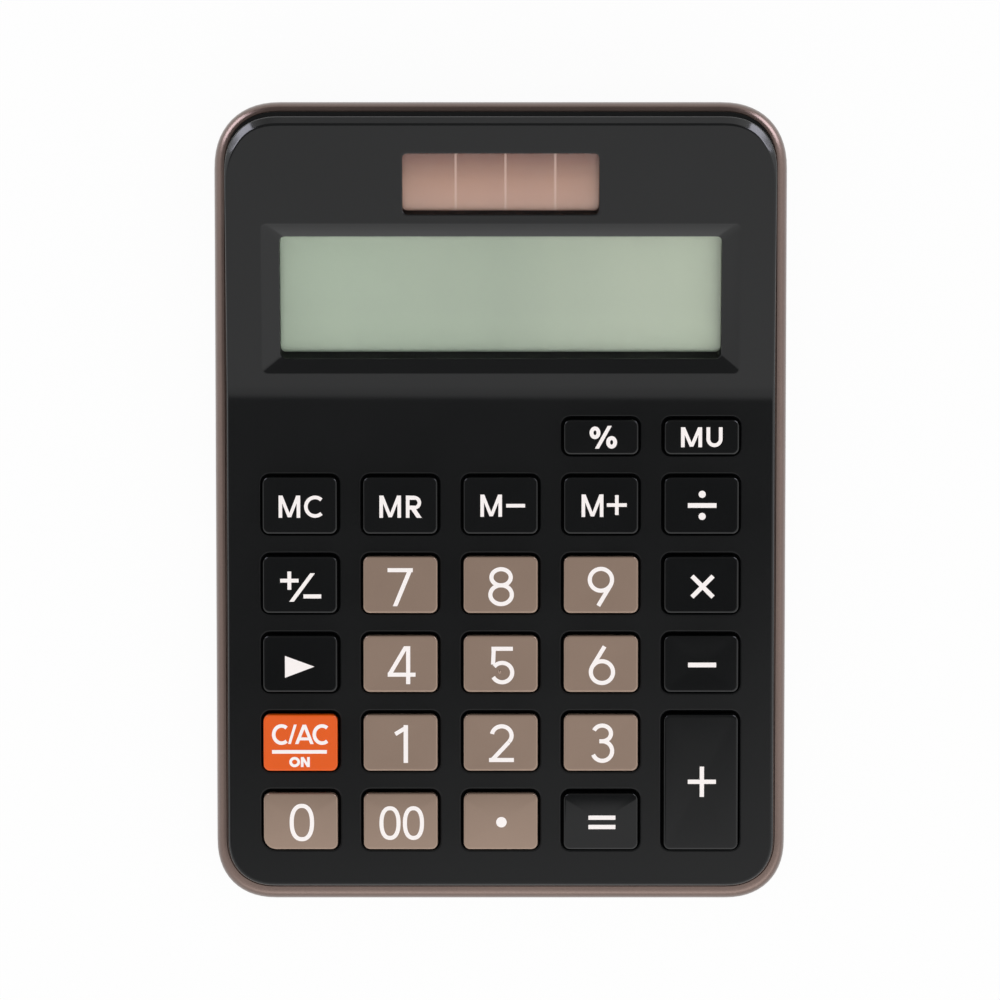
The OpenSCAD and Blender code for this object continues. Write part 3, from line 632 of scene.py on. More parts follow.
def upper_shell():
    """The black upper shell: deck, crease and display face with openings, rim, walls and hollow inside."""
    shell = Surface()
    base = outline(RIM_HALF, RIM_FRONT, RIM_REAR, RIM_R, SIDE_ROWS)
    rim, border = rim_rings(base)
    foot_rows = over(base, -EDGE_R)[CORNER + 1:CORNER + 1 + len(SIDE_ROWS), 1]
    half, front, rear = BODY_W / 2 - SHELL_SIDE, -SPAN / 2 + SHELL_FRONT, SPAN / 2 - SHELL_REAR
    foot = outline(half, front, rear, SHELL_R, foot_rows)
    inner_foot = outline(half - WALL, front + WALL, rear - WALL, SHELL_R - WALL, foot_rows)
    inner_rear = RIM_REAR - WALL - CHAMFER[0]
    inner_top = outline(RIM_HALF - WALL, RIM_FRONT + WALL, inner_rear, HOLLOW_R, SIDE_ROWS)
    wall = [bend(ring) for ring in rim]
    last = wall[-1][:, :2]
    wall += [lift(last + (foot - last) * share, PARTING + LIP + rise) for share, rise in LEDGE]
    wall += [lift(foot, PARTING + LIP), lift(foot - outward(foot) * TUCK, PARTING + TUCK_RISE)]
    wall += [lift(inner_foot, PARTING + TUCK_RISE), over(inner_top, -WALL)]
    shell.rings(wall)

    holes = [key_hole(n) for n in KEY_NODES]
    solar = (0.0, SOLAR_Y, SOLAR_W, SOLAR_L, SOLAR_R)
    solar_foot = (0.0, SOLAR_Y + SOLAR_FOOT / 2, SOLAR_W, SOLAR_L - SOLAR_FOOT, SOLAR_R)
    mouths = [(hole, hole, fillet(HOLE_EDGE)) for hole in holes]
    mouths.append((solar, solar_foot, fillet(SOLAR_EDGE, 4)))
    for hole, hole_foot, profile in mouths:
        mouth = carried(hole, profile, over)
        shell.rings(mouth)
        # The wall down each hole is painted shade, in the darker, duller black
        shell.rings([mouth[-1], over(box_loop(hole_foot), -WALL)], painted_shade=True)

    recess = (0.0, RECESS_Y, RECESS_W, RECESS_L, RECESS_R)
    opening = (0.0, RECESS_Y, RECESS_W - 2 * BEVEL_X, RECESS_L - 2 * BEVEL_Y, OPENING_R)
    window = (0.0, RECESS_Y + RECESS_FOOT / 2, opening[2], opening[3] - RECESS_FOOT, OPENING_R)
    block = (0.0, RECESS_Y, RECESS_W - BLOCK[0], RECESS_L + BLOCK[1], BLOCK[2])
    top, low = box_loop(recess), box_loop(opening)
    side = outward(top)
    profile = softened([(-1, 0), (0, 0), (1, -BEVEL_DEPTH), (1, -BEVEL_DEPTH - 0.2)], (0.12, 0.1), 5)
    bevel = [over(box_loop(widened(recess, BEVEL_EDGE + GUARD)), 0.0)]
    for share, z in profile:
        bevel.append(over(top - side * share * BEVEL_EDGE if share < 0 else top + (low - top) * share, z))
    shell.rings(bevel)
    well = [over(box_loop(window), -WELL_DEPTH), over(box_loop(block), -WELL_DEPTH)]
    # The well under the display's bevel is painted shade, in the darker, duller black
    shell.rings([bevel[-1]] + well, painted_shade=True)
    shell.rings([well[-1], over(box_loop(block), -WALL)])

    crease = list(CREASE_ROWS)
    grown = [widened(h, HOLE_EDGE + GUARD) for h in holes]
    grown += [widened(recess, BEVEL_EDGE + GUARD), widened(solar, SOLAR_EDGE + GUARD)]
    shell.patch(border, grown, 0.0, crease, over)
    shell.patch(inner_top, holes + [block, solar_foot], -WALL, crease, over)
    shell.finish("upper_case", "housing", "upper_case_plastic", BLACK_SHELL, ["upper_shell"])


# ---- lower shell ----


SHOULDER = (1.9, 2.5, 1.6)  # how far the sides, front and rear round in, up to the parting line
HEEL = 2.2  # height over which the sides round in to the floor
HEEL_IN = (0.7, 0.9)  # insets of the sides and ends where that rounding starts
HEEL_RUN = (1.5, 1.7)  # and how much further in it ends
FLOOR_EDGE = 0.3
SEAM = 0.16  # how far the lower shell's lip lies below the parting line
INNER_FLOOR = (3.7, 4.8, CORNER_R - 4.2)  # insets of its sides and ends, and its corners
POST_SIDE = 0.6  # a screw post's wall where it stands on the floor
POST_WIDER = 1.35  # its width at its top, against the well's
POST_OVER = 1.6  # and how far it reaches past the well's far end
UNDER_SOFT = 0.25  # rounding of the edges of the wells and recesses underneath


def level(drop, share, more=0.0):
    """A contour of the body in the deck's frame, at a depth: a share of the shoulder's insets, and more."""
    side, front, rear = (inset * share + more for inset in SHOULDER)
    loop = outline(BODY_W / 2 - side, -SPAN / 2 + front, SPAN / 2 - rear, CORNER_R - side)
    return deck_to_world(lift(loop, drop))


def plan(side, end, r):
    """The body's outline in plan with its sides and its ends inset."""
    return outline(BODY_W / 2 - side, -BODY_L / 2 + end, BODY_L / 2 - end, r)


SCREWS = [(x * side, y, seat) for x, y, seat in
          ((27.35, -51.18, -9.1), (BODY_W / 2 - 6.7, CREASE - 0.4, -7.2),
           (BODY_W / 2 - 10, SPAN / 2 - 12, -7.2))
          for side in (-1, 1)]
SCREW_HEAD_R = 2.25
foot_lo, foot_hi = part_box("rubber_feet")
FOOT_R = 4.5
FOOT_PLAY = 0.1  # room round a foot in its recess
FOOT_DEPTH = 0.8
HIDDEN_R = 1.9  # a rear screw's well where it opens in a foot's recess
HIDDEN_AT = 0.6  # its place there, as a share of the way from the foot's middle to the well's
FEET = [(x, y) for x in (foot_lo.x / MM + FOOT_R, foot_hi.x / MM - FOOT_R)
        for y in (foot_lo.y / MM + FOOT_R, foot_hi.y / MM - FOOT_R)]
door_lo, door_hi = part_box("battery_door")
DOOR = ((door_lo.x + door_hi.x) / 2 / MM, (door_lo.y + door_hi.y) / 2 / MM,
        (door_hi.x - door_lo.x) / MM, (door_hi.y - door_lo.y) / MM, 1.5)
DOOR_TOP = door_hi.z / MM
DOOR_PLAY = 0.2  # room round the door in its recess
DOOR_OVER = 0.1  # and above it


def screw_well(x, y, seat):
    """A screw's well in the floor: its mouth in plan, and the ring at its far end under the screw's seat."""
    depth = (FLOOR - DECK_Z - y * math.sin(TILT)) / math.cos(TILT)
    mouth = deck_to_world(np.array([(x, y, depth)]))[0]
    far = deck_to_world(lift(box_loop(disc(x, y, SCREW_HEAD_R)), seat))
    return disc(mouth[0], mouth[1], SCREW_HEAD_R), far


def lower_shell():
    """The bronze lower shell: a tub whose sides round in to the parting line, with recesses underneath."""
    tub = Surface(unmoved)
    rings = []
    for t in np.linspace(math.pi / 2, 0, 9):
        rings.append(level(WAIST + (PARTING - WAIST) * math.sin(t), 1 - math.cos(t)))
    waist = rings[-1]
    heel = lift(plan(*HEEL_IN, CORNER_R - HEEL_IN[0]), FLOOR + HEEL)
    rings += [waist + (heel - waist) * share for share in (0.2, 0.45, 0.7)]
    for t in np.linspace(0, math.pi / 2, 8):
        side, end = (start + run * (1 - math.cos(t)) for start, run in zip(HEEL_IN, HEEL_RUN))
        rings.append(lift(plan(side, end, CORNER_R - side), FLOOR + HEEL * (1 - math.sin(t))))
    side, end = (start + run + FLOOR_EDGE for start, run in zip(HEEL_IN, HEEL_RUN))
    border = plan(side, end, CORNER_R - side)
    inner_floor = plan(*INNER_FLOOR)
    lip = [level(PARTING - SEAM, 1.0, more) for more in (2.5, 0.14)]  # its inner and its outer edge
    tub.rings([lift(inner_floor, FLOOR + WALL)] + lip + rings + [lift(border, FLOOR)])

    edge = [(out, FLOOR - z) for out, z in fillet(UNDER_SOFT, 3)]
    wells = [screw_well(*s) for s in SCREWS]
    feet = [disc(x, y, FOOT_R + FOOT_PLAY) for x, y in FEET]
    door = widened(DOOR, DOOR_PLAY)
    open_wells, hidden = [], {}
    for hole, far in wells:
        hiding = [foot for foot in feet if math.hypot(foot[0] - hole[0], foot[1] - hole[1]) < FOOT_R]
        if hiding:
            at = np.array(hiding[0][:2])
            hidden[hiding[0]] = disc(*(at + (np.array(hole[:2]) - at) * HIDDEN_AT).tolist(), HIDDEN_R)
            tub.rings([lift(box_loop(hidden[hiding[0]]), FLOOR + FOOT_DEPTH), far], cap_last=True)
        else:
            open_wells.append(hole)
            tub.rings(carried(hole, edge) + [far], cap_last=True)
    for foot in feet:
        tub.rings(carried(foot, edge + [(0, FLOOR + FOOT_DEPTH)]), cap_last=foot not in hidden)
        if foot in hidden:
            tub.patch(box_loop(foot), [hidden[foot]], FLOOR + FOOT_DEPTH)
    tub.rings(carried(door, edge + [(0, DOOR_TOP + DOOR_OVER)]), cap_last=True)
    grown = [widened(h, UNDER_SOFT + GUARD) for h in open_wells + feet + [door]]
    tub.patch(border, grown, FLOOR)

    posts = [widened(hole, POST_SIDE) for hole, far in wells]
    up = np.array([0, -math.sin(TILT), math.cos(TILT)]) * POST_OVER
    for post, (hole, far) in zip(posts, wells):
        middle = far.mean(0)
        top = middle + (far - middle) * POST_WIDER
        tub.rings([lift(box_loop(post), FLOOR + WALL), top + up], cap_last=True)
    tub.patch(inner_floor, posts, FLOOR + WALL)
    tub.finish("lower_case", "housing", "lower_case_plastic", BRONZE, ["lower_shell"])


def underside_pieces():
    """The battery door with its finger ridges, and four rubber feet turned from one profile."""
    door = Surface(unmoved)
    screw_lo, screw_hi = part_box("door_screw")
    screw = disc((screw_lo.x + screw_hi.x) / 2 / MM, (screw_lo.y + screw_hi.y) / 2 / MM, 1.65)
    soft = 0.3
    rim = [(-out, FLOOR - z) for out, z in fillet(soft, 4)]
    door.rings(carried(DOOR, rim + [(0, DOOR_TOP)]), cap_last=True)
    mouth = [(out, FLOOR - z) for out, z in fillet(soft, 3)]
    door.rings(carried(screw, mouth + [(0, FLOOR + 0.9)]), cap_last=True)
    bar = [(0, 0), (-0.04, -0.12), (-0.14, -0.2), (-0.3, -0.24)]
    ridges = [(DOOR[0] + DOOR[2] / 2 - 3.0 - 1.5 * i, DOOR[1], 0.8, 9.0, 0.4) for i in range(5)]
    for ridge in ridges:
        door.rings(carried(ridge, [(out, FLOOR + z) for out, z in bar]), cap_last=True)
    door.patch(box_loop(DOOR, -soft - GUARD), [widened(screw, soft + GUARD)] + ridges, FLOOR)
    door.finish("battery_cover", "housing", "lower_case_plastic", BRONZE, ["battery_door"])

    feet = Surface(unmoved)
    turned = [(FOOT_R, 1.75), (FOOT_R, 0.45), (FOOT_R - 0.12, 0.14), (FOOT_R - 0.45, 0.0),
              (FOOT_R - 0.75, 0.0), (3.2, 0.0), (3.0, 0.22), (2.6, 0.22), (2.4, 0.0), (0.4, 0.0)]
    for x, y in FEET:
        feet.rings([lift(arc(x, y, r, 0, 360, 40)[:-1], z) for r, z in turned], cap_first=True, cap_last=True)
    feet.finish("feet", "housing", "foot_rubber", RUBBER, ["rubber_feet"], angle=50)


# ---- keys ----


def dish(x, y, w, l):
    """How far a key's top dips below its rim: a bowl, 1 - u u times 1 - v v, with u and v 1 at the sides."""
    u = np.clip(1 - (2 * x / w) ** 2, 0, 1)
    v = np.clip(1 - (2 * y / l) ** 2, 0, 1)
    return DISH * u * v


def lean(node, y):
    """How far the top of a front row key arches: it rises a touch, then falls away towards its front.

    The fall is a (a - 1/2), with a from 0 at the rear edge to 1 at the front."""
    if node not in FRONT_ROW:
        return np.zeros(np.shape(y))
    length = KEYS[node][3]
    along = np.clip(0.5 - y / length, 0, 1)
    return FRONT_FALL * along * (along - 0.5)


def key_finish(node):
    """A key's plastic and the slot it goes in."""
    if node == "key_clear":
        return ORANGE_KEY, "clear_key_plastic"
    if node[4:].isdigit() or node == "key_point":
        return TAUPE_KEY, "number_key_plastic"
    return BLACK_KEY, "function_key_plastic"


def fall(node, p):
    """How far a key's top lies below its rise, at points from its middle: its dish and its arch."""
    w, l = KEYS[node][2:]
    return dish(p[:, 0], p[:, 1], w - 2 * KEY_SOFT, l - 2 * KEY_SOFT) + lean(node, p[:, 1])


def keycap(node):
    """A hollow keycap with a soft top edge, a dished top, a flange under the deck and a post inside."""
    x, y, w, l = KEYS[node]
    cap = (x, y, w, l, key_radii(node))
    cavity = (x, y, w - 2 * KEY_WALL, l - 2 * KEY_WALL, CAVITY_R)
    roof = KEY_RISE - KEY_WALL
    sides = [(FLANGE, FLANGE_FOOT), (FLANGE, FLANGE_TOP), (0.02, FLANGE_TOP), (0.01, SKIRT)]
    rings = carried(disc(x, y, POST_R), [(0, POST_FOOT), (0, roof)])
    rings += carried(cavity, [(0, roof), (0, FLANGE_FOOT)]) + carried(cap, sides)
    key = Surface()
    # The key's inside, flange and lower sides: the dark first shot of plastic, darkened further as painted
    # shade
    key.rings(rings, cap_first=True, painted_shade=True)
    rings = rings[-1:]
    for t in np.linspace(0, math.pi / 2, 7):
        ring = box_loop(cap, -KEY_SOFT * (1 - math.cos(t)))
        rings.append(lift(ring, KEY_RISE - KEY_SOFT * (1 - math.sin(t)) - lean(node, ring[:, 1] - y)))
    rim = box_loop(cap, -KEY_SOFT)
    for share in (0.985, 0.93, 0.84, 0.72, 0.56, 0.38, 0.18):
        ring = (rim - (x, y)) * share
        rings.append(lift(ring + (x, y), KEY_RISE - fall(node, ring)))
    key.rings(rings, cap_last=True)
    if node == "key_5":
        pip = [(0.36, -0.1), (0.36, 0.02), (0.31, 0.1), (0.2, 0.17), (0.08, 0.19)]
        px, py = x - 0.24, y - 1.49
        key.rings([lift(arc(px, py, r, 0, 360, 16)[:-1], KEY_RISE - DISH + z) for r, z in pip], True, True)
    material, slot = key_finish(node)
    key.finish("cap_" + node[4:], node, slot, material, [node], angle=40)


# ---- keypad ----

SHEET_TOP = -5.4
SHEET_FOOT = -6.2
DOME_TOP = -3.6
DOME_ROOF = -4.3  # the hollow's top
DOME_R = 3.4  # a dome's radius at its top, where its key is long enough
DOME_RUN = 1.4  # how much wider it is at its foot
DOME_FOOT = 0.4  # height of its straight foot
PILL_FOOT = -4.65
PILL_IN = 1.1  # how much narrower a pill is than its dome's top
TOUCH = 0.02  # room between a pill and its roof, and between a dome's foot and the sheet's edge
BOSS_R = 1.85
SHEET_IN = (7.1, 7.3, 4.2)  # the sheet's edge: insets from the body's sides and front, and from the crease
BOSSES = [(x * side, y) for x, y in ((27.75, 7.61), (9.25, -7.05), (27.75, -21.7), (9.25, -36.36))
          for side in (-1, 1)]
SILICONE = moulded("silicone_grey", tone(140, 142, 146), (0.5, 0.65), 1400.0, 0.01, 0.06)
CARBON = moulded("carbon_black", tone(34, 34, 36), (0.6, 0.8), 2600.0, 0.01, 0.2)


def keypad():
    """The rubber sheet, a hollow dome under each key and a pill that rides with the key."""
    holes = [disc(x, y, BOSS_R) for x, y in BOSSES]
    side, front, rear = SHEET_IN
    border = outline(BODY_W / 2 - side, -SPAN / 2 + front, CREASE - rear, 3.0)
    feet = []
    for node in KEY_NODES:
        x, y, _, l = KEYS[node]
        r = min(DOME_R, l / 2 - 1.3)  # short keys have narrower domes, so that no two meet
        feet.append(disc(x, y, r + DOME_RUN + TOUCH))
        profile = [(-0.5, DOME_ROOF), (0.9, SHEET_FOOT), (DOME_RUN, SHEET_FOOT),
                   (DOME_RUN, SHEET_FOOT + DOME_FOOT), (0, DOME_TOP)]
        dome = Surface()
        dome.rings(carried(disc(x, y, r), profile), True, True)
        piece = dome.finish("dome_" + node[4:], "housing", "keypad_silicone", SILICONE, ["rubber_keypad"])
        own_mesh(piece)
        pill = Surface()
        pill.rings(carried(disc(x, y, r - PILL_IN), [(0, PILL_FOOT), (0, DOME_ROOF - TOUCH)]), True, True)
        pill.finish("pill_" + node[4:], node, "carbon_pill", CARBON, ["contact_pills"])
    holes = feet + holes
    sheet = Surface()
    for loop in [border] + [box_loop(hole) for hole in holes]:
        sheet.rings([lift(loop, SHEET_TOP), lift(loop, SHEET_FOOT)])
    sheet.patch(border, holes, SHEET_TOP)
    sheet.patch(border, holes, SHEET_FOOT)
    sheet.finish("keypad_sheet", "housing", "keypad_silicone", SILICONE, ["rubber_keypad"])


# ---- legends: strokes in millimetres from each key's middle ----

INK = 0.08  # thickness of a legend's figure, and how far its face stands above the key's top
INK_RISE = 0.03


def stroke(x0, y0, x1, y1, w):
    """A straight stroke with square ends."""
    d = np.array([x1 - x0, y1 - y0]) / math.hypot(x1 - x0, y1 - y0)
    side = np.array([-d[1], d[0]]) * w / 2
    a, b = np.array([x0, y0]), np.array([x1, y1])
    return np.array([a - side, b - side, b + side, a + side])


def slant(x0, y0, x1, y1, w):
    """A straight stroke whose two ends are cut level, as on an A or a 7; w is its real thickness."""
    half = w / 2 * math.hypot(x1 - x0, y1 - y0) / abs(y1 - y0)
    return np.array([(x0 - half, y0), (x0 + half, y0), (x1 + half, y1), (x1 - half, y1)])


def bow(x, y, rx, ry, start, end, w, power=2.0, steps=26):
    """A stroke along part of a superoval, from one angle in degrees to another, in four-sided pieces."""
    c, s = superoval(np.radians(np.linspace(start, end, steps + 1)), power)
    centre = np.stack([x + rx * c, y + ry * s], -1)
    d = np.gradient(centre, axis=0)
    if abs(end - start) >= 360:
        d[0] = d[-1] = centre[1] - centre[-2]
    d /= np.linalg.norm(d, axis=1)[:, None]
    side = np.stack([-d[:, 1], d[:, 0]], -1) * w / 2
    left, right = centre + side, centre - side
    return [np.array([left[i], right[i], right[i + 1], left[i + 1]]) for i in range(steps)]


def oval(x, y, rx, ry, w, power=2.0, steps=40):
    """A closed oval stroke."""
    return bow(x, y, rx, ry, 0, 360, w, power, steps)


def dot(x, y, r):
    """A filled round dot."""
    return [arc(x, y, r, 0, 360, 24)[:-1]]


def tangent(px, py, x, y, r, side):
    """The angle in degrees at which a line from (px, py) touches a circle, on its left (1) or right (-1)."""
    far = math.hypot(px - x, py - y)
    return math.degrees(math.atan2(py - y, px - x) + side * math.acos(r / far))


def touch(px, py, x, y, r, side, w):
    """A straight stroke from a point to where it just touches a circle."""
    a = math.radians(tangent(px, py, x, y, r, side))
    return stroke(px, py, x + r * math.cos(a), y + r * math.sin(a), w)


def letter_m(x, y, half_w, half_h, w):
    """A letter M round its middle."""
    return [stroke(x - half_w, y - half_h, x - half_w, y + half_h, w),
            stroke(x + half_w, y - half_h, x + half_w, y + half_h, w),
            slant(x - half_w + 0.08, y + half_h, x, y - half_h + 0.1, w * 0.9),
            slant(x + half_w - 0.08, y + half_h, x, y - half_h + 0.1, w * 0.9)]


def level_bar(x, y, half, w):
    """A level stroke round its middle."""
    return [stroke(x - half, y, x + half, y, w)]


def plus(x, y, half_x, half_y, w):
    """A level and an upright stroke that cross."""
    return level_bar(x, y, half_x, w) + [stroke(x, y - half_y, x, y + half_y, w)]


def legends():
    """Each key's legend as a list of outlines: thin monoline figures, signs and short words."""
    d, f = 0.77, 0.7  # stroke of the figures and of the small letters

    def moved(shapes, x, y):
        """Figures stand a little right of and below their keys' middles."""
        return [s + (x, y) for s in shapes]

    two_end = tangent(-1.72, -3.12, 0.05, 1.42, 1.82, 1)
    sx, sy, sr = 0.07, -1.22, 2.05  # the bowl of the 6, which the 9 turns upside down
    return {
        "key_0": moved(oval(0, 0, 1.88, 3.12, d, 2.3, 48), 0.2, -0.2),
        "key_00": moved(oval(-2.17, 0, 1.58, 2.78, 0.76, 2.3, 44)
                        + oval(2.17, 0, 1.58, 2.78, 0.76, 2.3, 44), 0.18, -0.3),
        "key_1": moved([stroke(0.84, -3.5, 0.84, 3.55, 0.82), stroke(1.1, 3.2, -1.1, 1.86, 0.75)],
                       0.12, -0.24),
        "key_2": moved(bow(0.05, 1.42, 1.82, 1.72, 170, two_end, d)
                       + [touch(-1.72, -3.12, 0.05, 1.42, 1.8, 1, d), stroke(-2.3, -3.13, 2.3, -3.13, 0.77)],
                       0.14, -0.06),
        "key_3": moved(bow(-0.02, 1.86, 1.62, 1.46, 158, -90, d) + bow(0.0, -1.42, 1.82, 1.82, 90, -158, d)
                       + [stroke(-0.55, 0.4, 0.1, 0.4, 0.76)], 0.28, -0.1),
        "key_4": moved([stroke(1.2, -3.5, 1.2, 3.54, d), stroke(-2.58, -1.74, 2.56, -1.74, 0.76),
                        slant(0.86, 3.54, -2.06, -1.4, 0.76)], 0.22, -0.24),
        "key_5": moved([stroke(-1.9, 3.12, 2.06, 3.12, 0.76), slant(-1.46, 3.5, -1.6, 0.2, 0.76)]
                       + bow(0.08, -1.3, 1.86, 1.8, 142, -152, d), 0.19, -0.29),
        "key_6": moved(oval(sx, sy, sr, 2.02, d, 2.0, 44) + [touch(0.55, 3.55, sx, sy, sr, 1, d)],
                       0.12, -0.28),
        "key_7": moved([stroke(-2.36, 3.12, 2.3, 3.12, 0.75), slant(1.86, 3.3, -0.98, -3.56, 0.78)],
                       0.0, -0.38),
        "key_8": moved(oval(0, 1.72, 1.78, 1.5, d, 2.0, 40) + oval(0, -1.5, 1.98, 1.74, d, 2.0, 44),
                       0.07, -0.3),
        "key_9": moved(oval(-sx, -sy, sr, 2.02, d, 2.0, 44) + [touch(-0.55, -3.6, -sx, -sy, sr, 1, d)],
                       0.04, -0.26),
        "key_point": dot(0.13, -0.13, 0.98),
        "key_equals": level_bar(0.23, 0.71, 2.5, 0.8) + level_bar(0.23, -1.03, 2.5, 0.8),
        "key_plus": plus(0.2, 0.08, 2.6, 2.82, 0.8),
        "key_minus": level_bar(0.18, -0.18, 2.6, 0.87),
        "key_multiply": [stroke(-1.74, -2.24, 2.14, 1.64, 0.82), stroke(-1.74, 1.64, 2.14, -2.24, 0.82)],
        "key_divide": level_bar(0.09, 0.04, 2.64, 0.87) + dot(0.09, 2.1, 0.66) + dot(0.09, -1.98, 0.66),
        "key_sign": plus(-1.96, 0.8, 1.7, 1.68, f) + [slant(-1.57, -3.1, 2.32, 2.16, f)]
                    + level_bar(2.27, -2.12, 1.64, 0.75),
        "key_backspace": [np.array([(-2.82, 1.5), (-2.82, -2.55), (2.62, -0.5)])],
        "key_memory_clear": letter_m(-1.9, -0.18, 1.66, 2.05, 0.66)
                            + bow(2.83, -0.18, 1.7, 1.72, 47, 313, 0.66),
        "key_memory_recall": letter_m(-1.84, -0.18, 1.66, 2.05, 0.66)
                             + [stroke(1.38, -2.23, 1.38, 1.87, 0.66), stroke(1.3, 1.47, 2.66, 1.47, 0.76),
                                stroke(1.3, -0.37, 2.66, -0.37, 0.76), slant(2.2, -0.3, 3.5, -2.23, 0.78)]
                             + bow(2.6, 0.55, 0.92, 0.92, 90, -90, 0.66),
        "key_memory_minus": letter_m(-1.75, 0.0, 1.66, 2.05, 0.66) + level_bar(2.75, 0.0, 1.74, 0.66),
        "key_memory_plus": letter_m(-1.6, 0.0, 1.68, 2.08, 0.66) + plus(2.88, 0.12, 1.83, 1.83, 0.66),
        "key_percent": oval(-1.16, 0.82, 0.64, 0.8, 0.72, 2.0, 28)
                       + oval(1.9, -0.94, 0.64, 0.8, 0.72, 2.0, 28) + [slant(-0.8, -2.1, 1.56, 2.1, 0.66)],
        "key_mark_up": letter_m(-1.9, 0.0, 1.6, 1.84, 0.68)
                       + [stroke(1.18, -0.4, 1.18, 1.84, 0.68), stroke(3.46, -0.4, 3.46, 1.84, 0.68)]
                       + bow(2.32, -0.32, 1.14, 1.15, 180, 360, 0.68),
        "key_clear": bow(-3.5, 1.55, 1.45, 1.6, 50, 310, 0.66) + bow(4.0, 1.55, 1.45, 1.6, 50, 310, 0.66)
                     + [slant(-2.05, -0.2, -0.95, 3.4, 0.5), slant(-0.7, -0.22, 0.72, 3.38, 0.6),
                        slant(2.12, -0.22, 0.72, 3.38, 0.6), stroke(-0.2, 0.74, 1.64, 0.74, 0.54)]
                     + level_bar(-0.2, -1.67, 5.07, 0.68)
                     + oval(-1.09, -3.57, 0.74, 0.7, 0.52, 2.0, 24)
                     + [stroke(0.3, -4.5, 0.3, -2.64, 0.5), stroke(1.46, -4.5, 1.46, -2.64, 0.5),
                        slant(0.3, -2.64, 1.46, -4.5, 0.46)],
    }


def anticlockwise(shape):
    """The outline turned, where it has to be, so that its signed area is above zero."""
    x, y = shape.T
    area = np.sum(x * np.roll(y, -1) - y * np.roll(x, -1))
    return shape if area > 0 else shape[::-1]


def legend(node, shapes):
    """One key's legend: its outlines joined flat into one figure, laid on the key's top and made thick."""
    x, y = KEYS[node][:2]
    shapes = [anticlockwise(shape) for shape in shapes]
    faces, first = [], 0
    for shape in shapes:
        faces.append(list(range(first, first + len(shape))))
        first += len(shape)
    found = delaunay_2d_cdt(np.concatenate(shapes).tolist(), [], faces, 1, 1e-5)
    flat = np.array([tuple(v) for v in found[0]])
    place = deck_to_world(lift(flat + (x, y), KEY_RISE - fall(node, flat) + INK_RISE))
    inside = [list(face) for face, under in zip(found[2], found[5]) if under]
    mesh = bpy.data.meshes.new("legend_" + node[4:])
    mesh.from_pydata((place * MM).tolist(), [], inside)
    weld(mesh, 1e-6, face_up=True)
    mesh.materials.append(LEGEND)
    piece = in_scene(mesh.name, mesh)
    thick = piece.modifiers.new("thickness", "SOLIDIFY")
    thick.thickness = INK * MM
    thick.offset = -1.0
    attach(piece, node)


# ---- display, solar cell and the pieces inside ----


def paint(finish, *nodes):
    """Gives CAD nodes a finish in place of the one they came with."""
    for name in nodes:
        for held in frame["nodes"][name].material_slots:
            held.material = finish


def clear_plastic(name, tint, rough):
    """A clear moulded pane: glass that lets lamps through, with a faint haze of fine scratches."""
    made = Finish(name, roughness=rough, ior=1.25)
    fine = made.noise(900.0, 3.0, 0.6, stretch=(1.0, 0.15, 1.0))
    made.set("Base Color", made.ramp(fine, [(0.3, tint), (0.8, scaled(tint, 1.02))]))
    made.set("Transmission Weight", 1.0)
    shadow = made.node("LightPath").outputs["Is Shadow Ray"]
    through = made.node("BsdfTransparent", Color=tint).outputs["BSDF"]
    made.surface(made.blend(shadow, made.shader.outputs["BSDF"], through))
    return made.material


def display_finish():
    """A switched-off reflective display: grey green, soft upright streaks, and painted light: paler at its
    right and front, darker in its middle.
    """
    made = Finish("display_grey_green", roughness=0.45)
    streak = made.noise(160.0, 2.0, stretch=(1.0, 0.04, 0.04))
    cloud = made.noise(22.0, 1.0)
    a = made.ramp(streak, [(0.35, tone(161, 172, 155)), (0.65, tone(166, 177, 159))])
    b = made.ramp(cloud, [(0.3, tone(158, 172, 153)), (0.7, tone(169, 177, 161))])
    at = made.axes()
    lo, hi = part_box("front_polariser")
    across = made.spread(at["X"], lo.x, hi.x, 0.0, 1.0)
    # Painted light across the display: a little darker in the middle under the lamp, paler at the right
    tone_and_painted_light = made.ramp(across, [(0.0, (0.95, 0.98, 0.96, 1.0)), (0.5, (0.86, 0.88, 0.86, 1.0)),
                              (1.0, (1.16, 1.13, 1.12, 1.0))])
    up = made.spread(at["Y"], lo.y, hi.y, 0.0, 1.0)
    # Painted light: paler towards the front, to lift the shadow of the recess's front wall
    painted_front_light = made.ramp(up, [(0.0, (1.22, 1.24, 1.22, 1.0)), (0.14, (1.13, 1.14, 1.13, 1.0)), (0.4, grey(1.0))])
    face = made.mix(1.0, made.mix(0.5, a, b), tone_and_painted_light, "MULTIPLY")
    made.set("Base Color", made.mix(1.0, face, painted_front_light, "MULTIPLY"))
    made.rough(cloud, 0.4, 0.5)
    return made.material


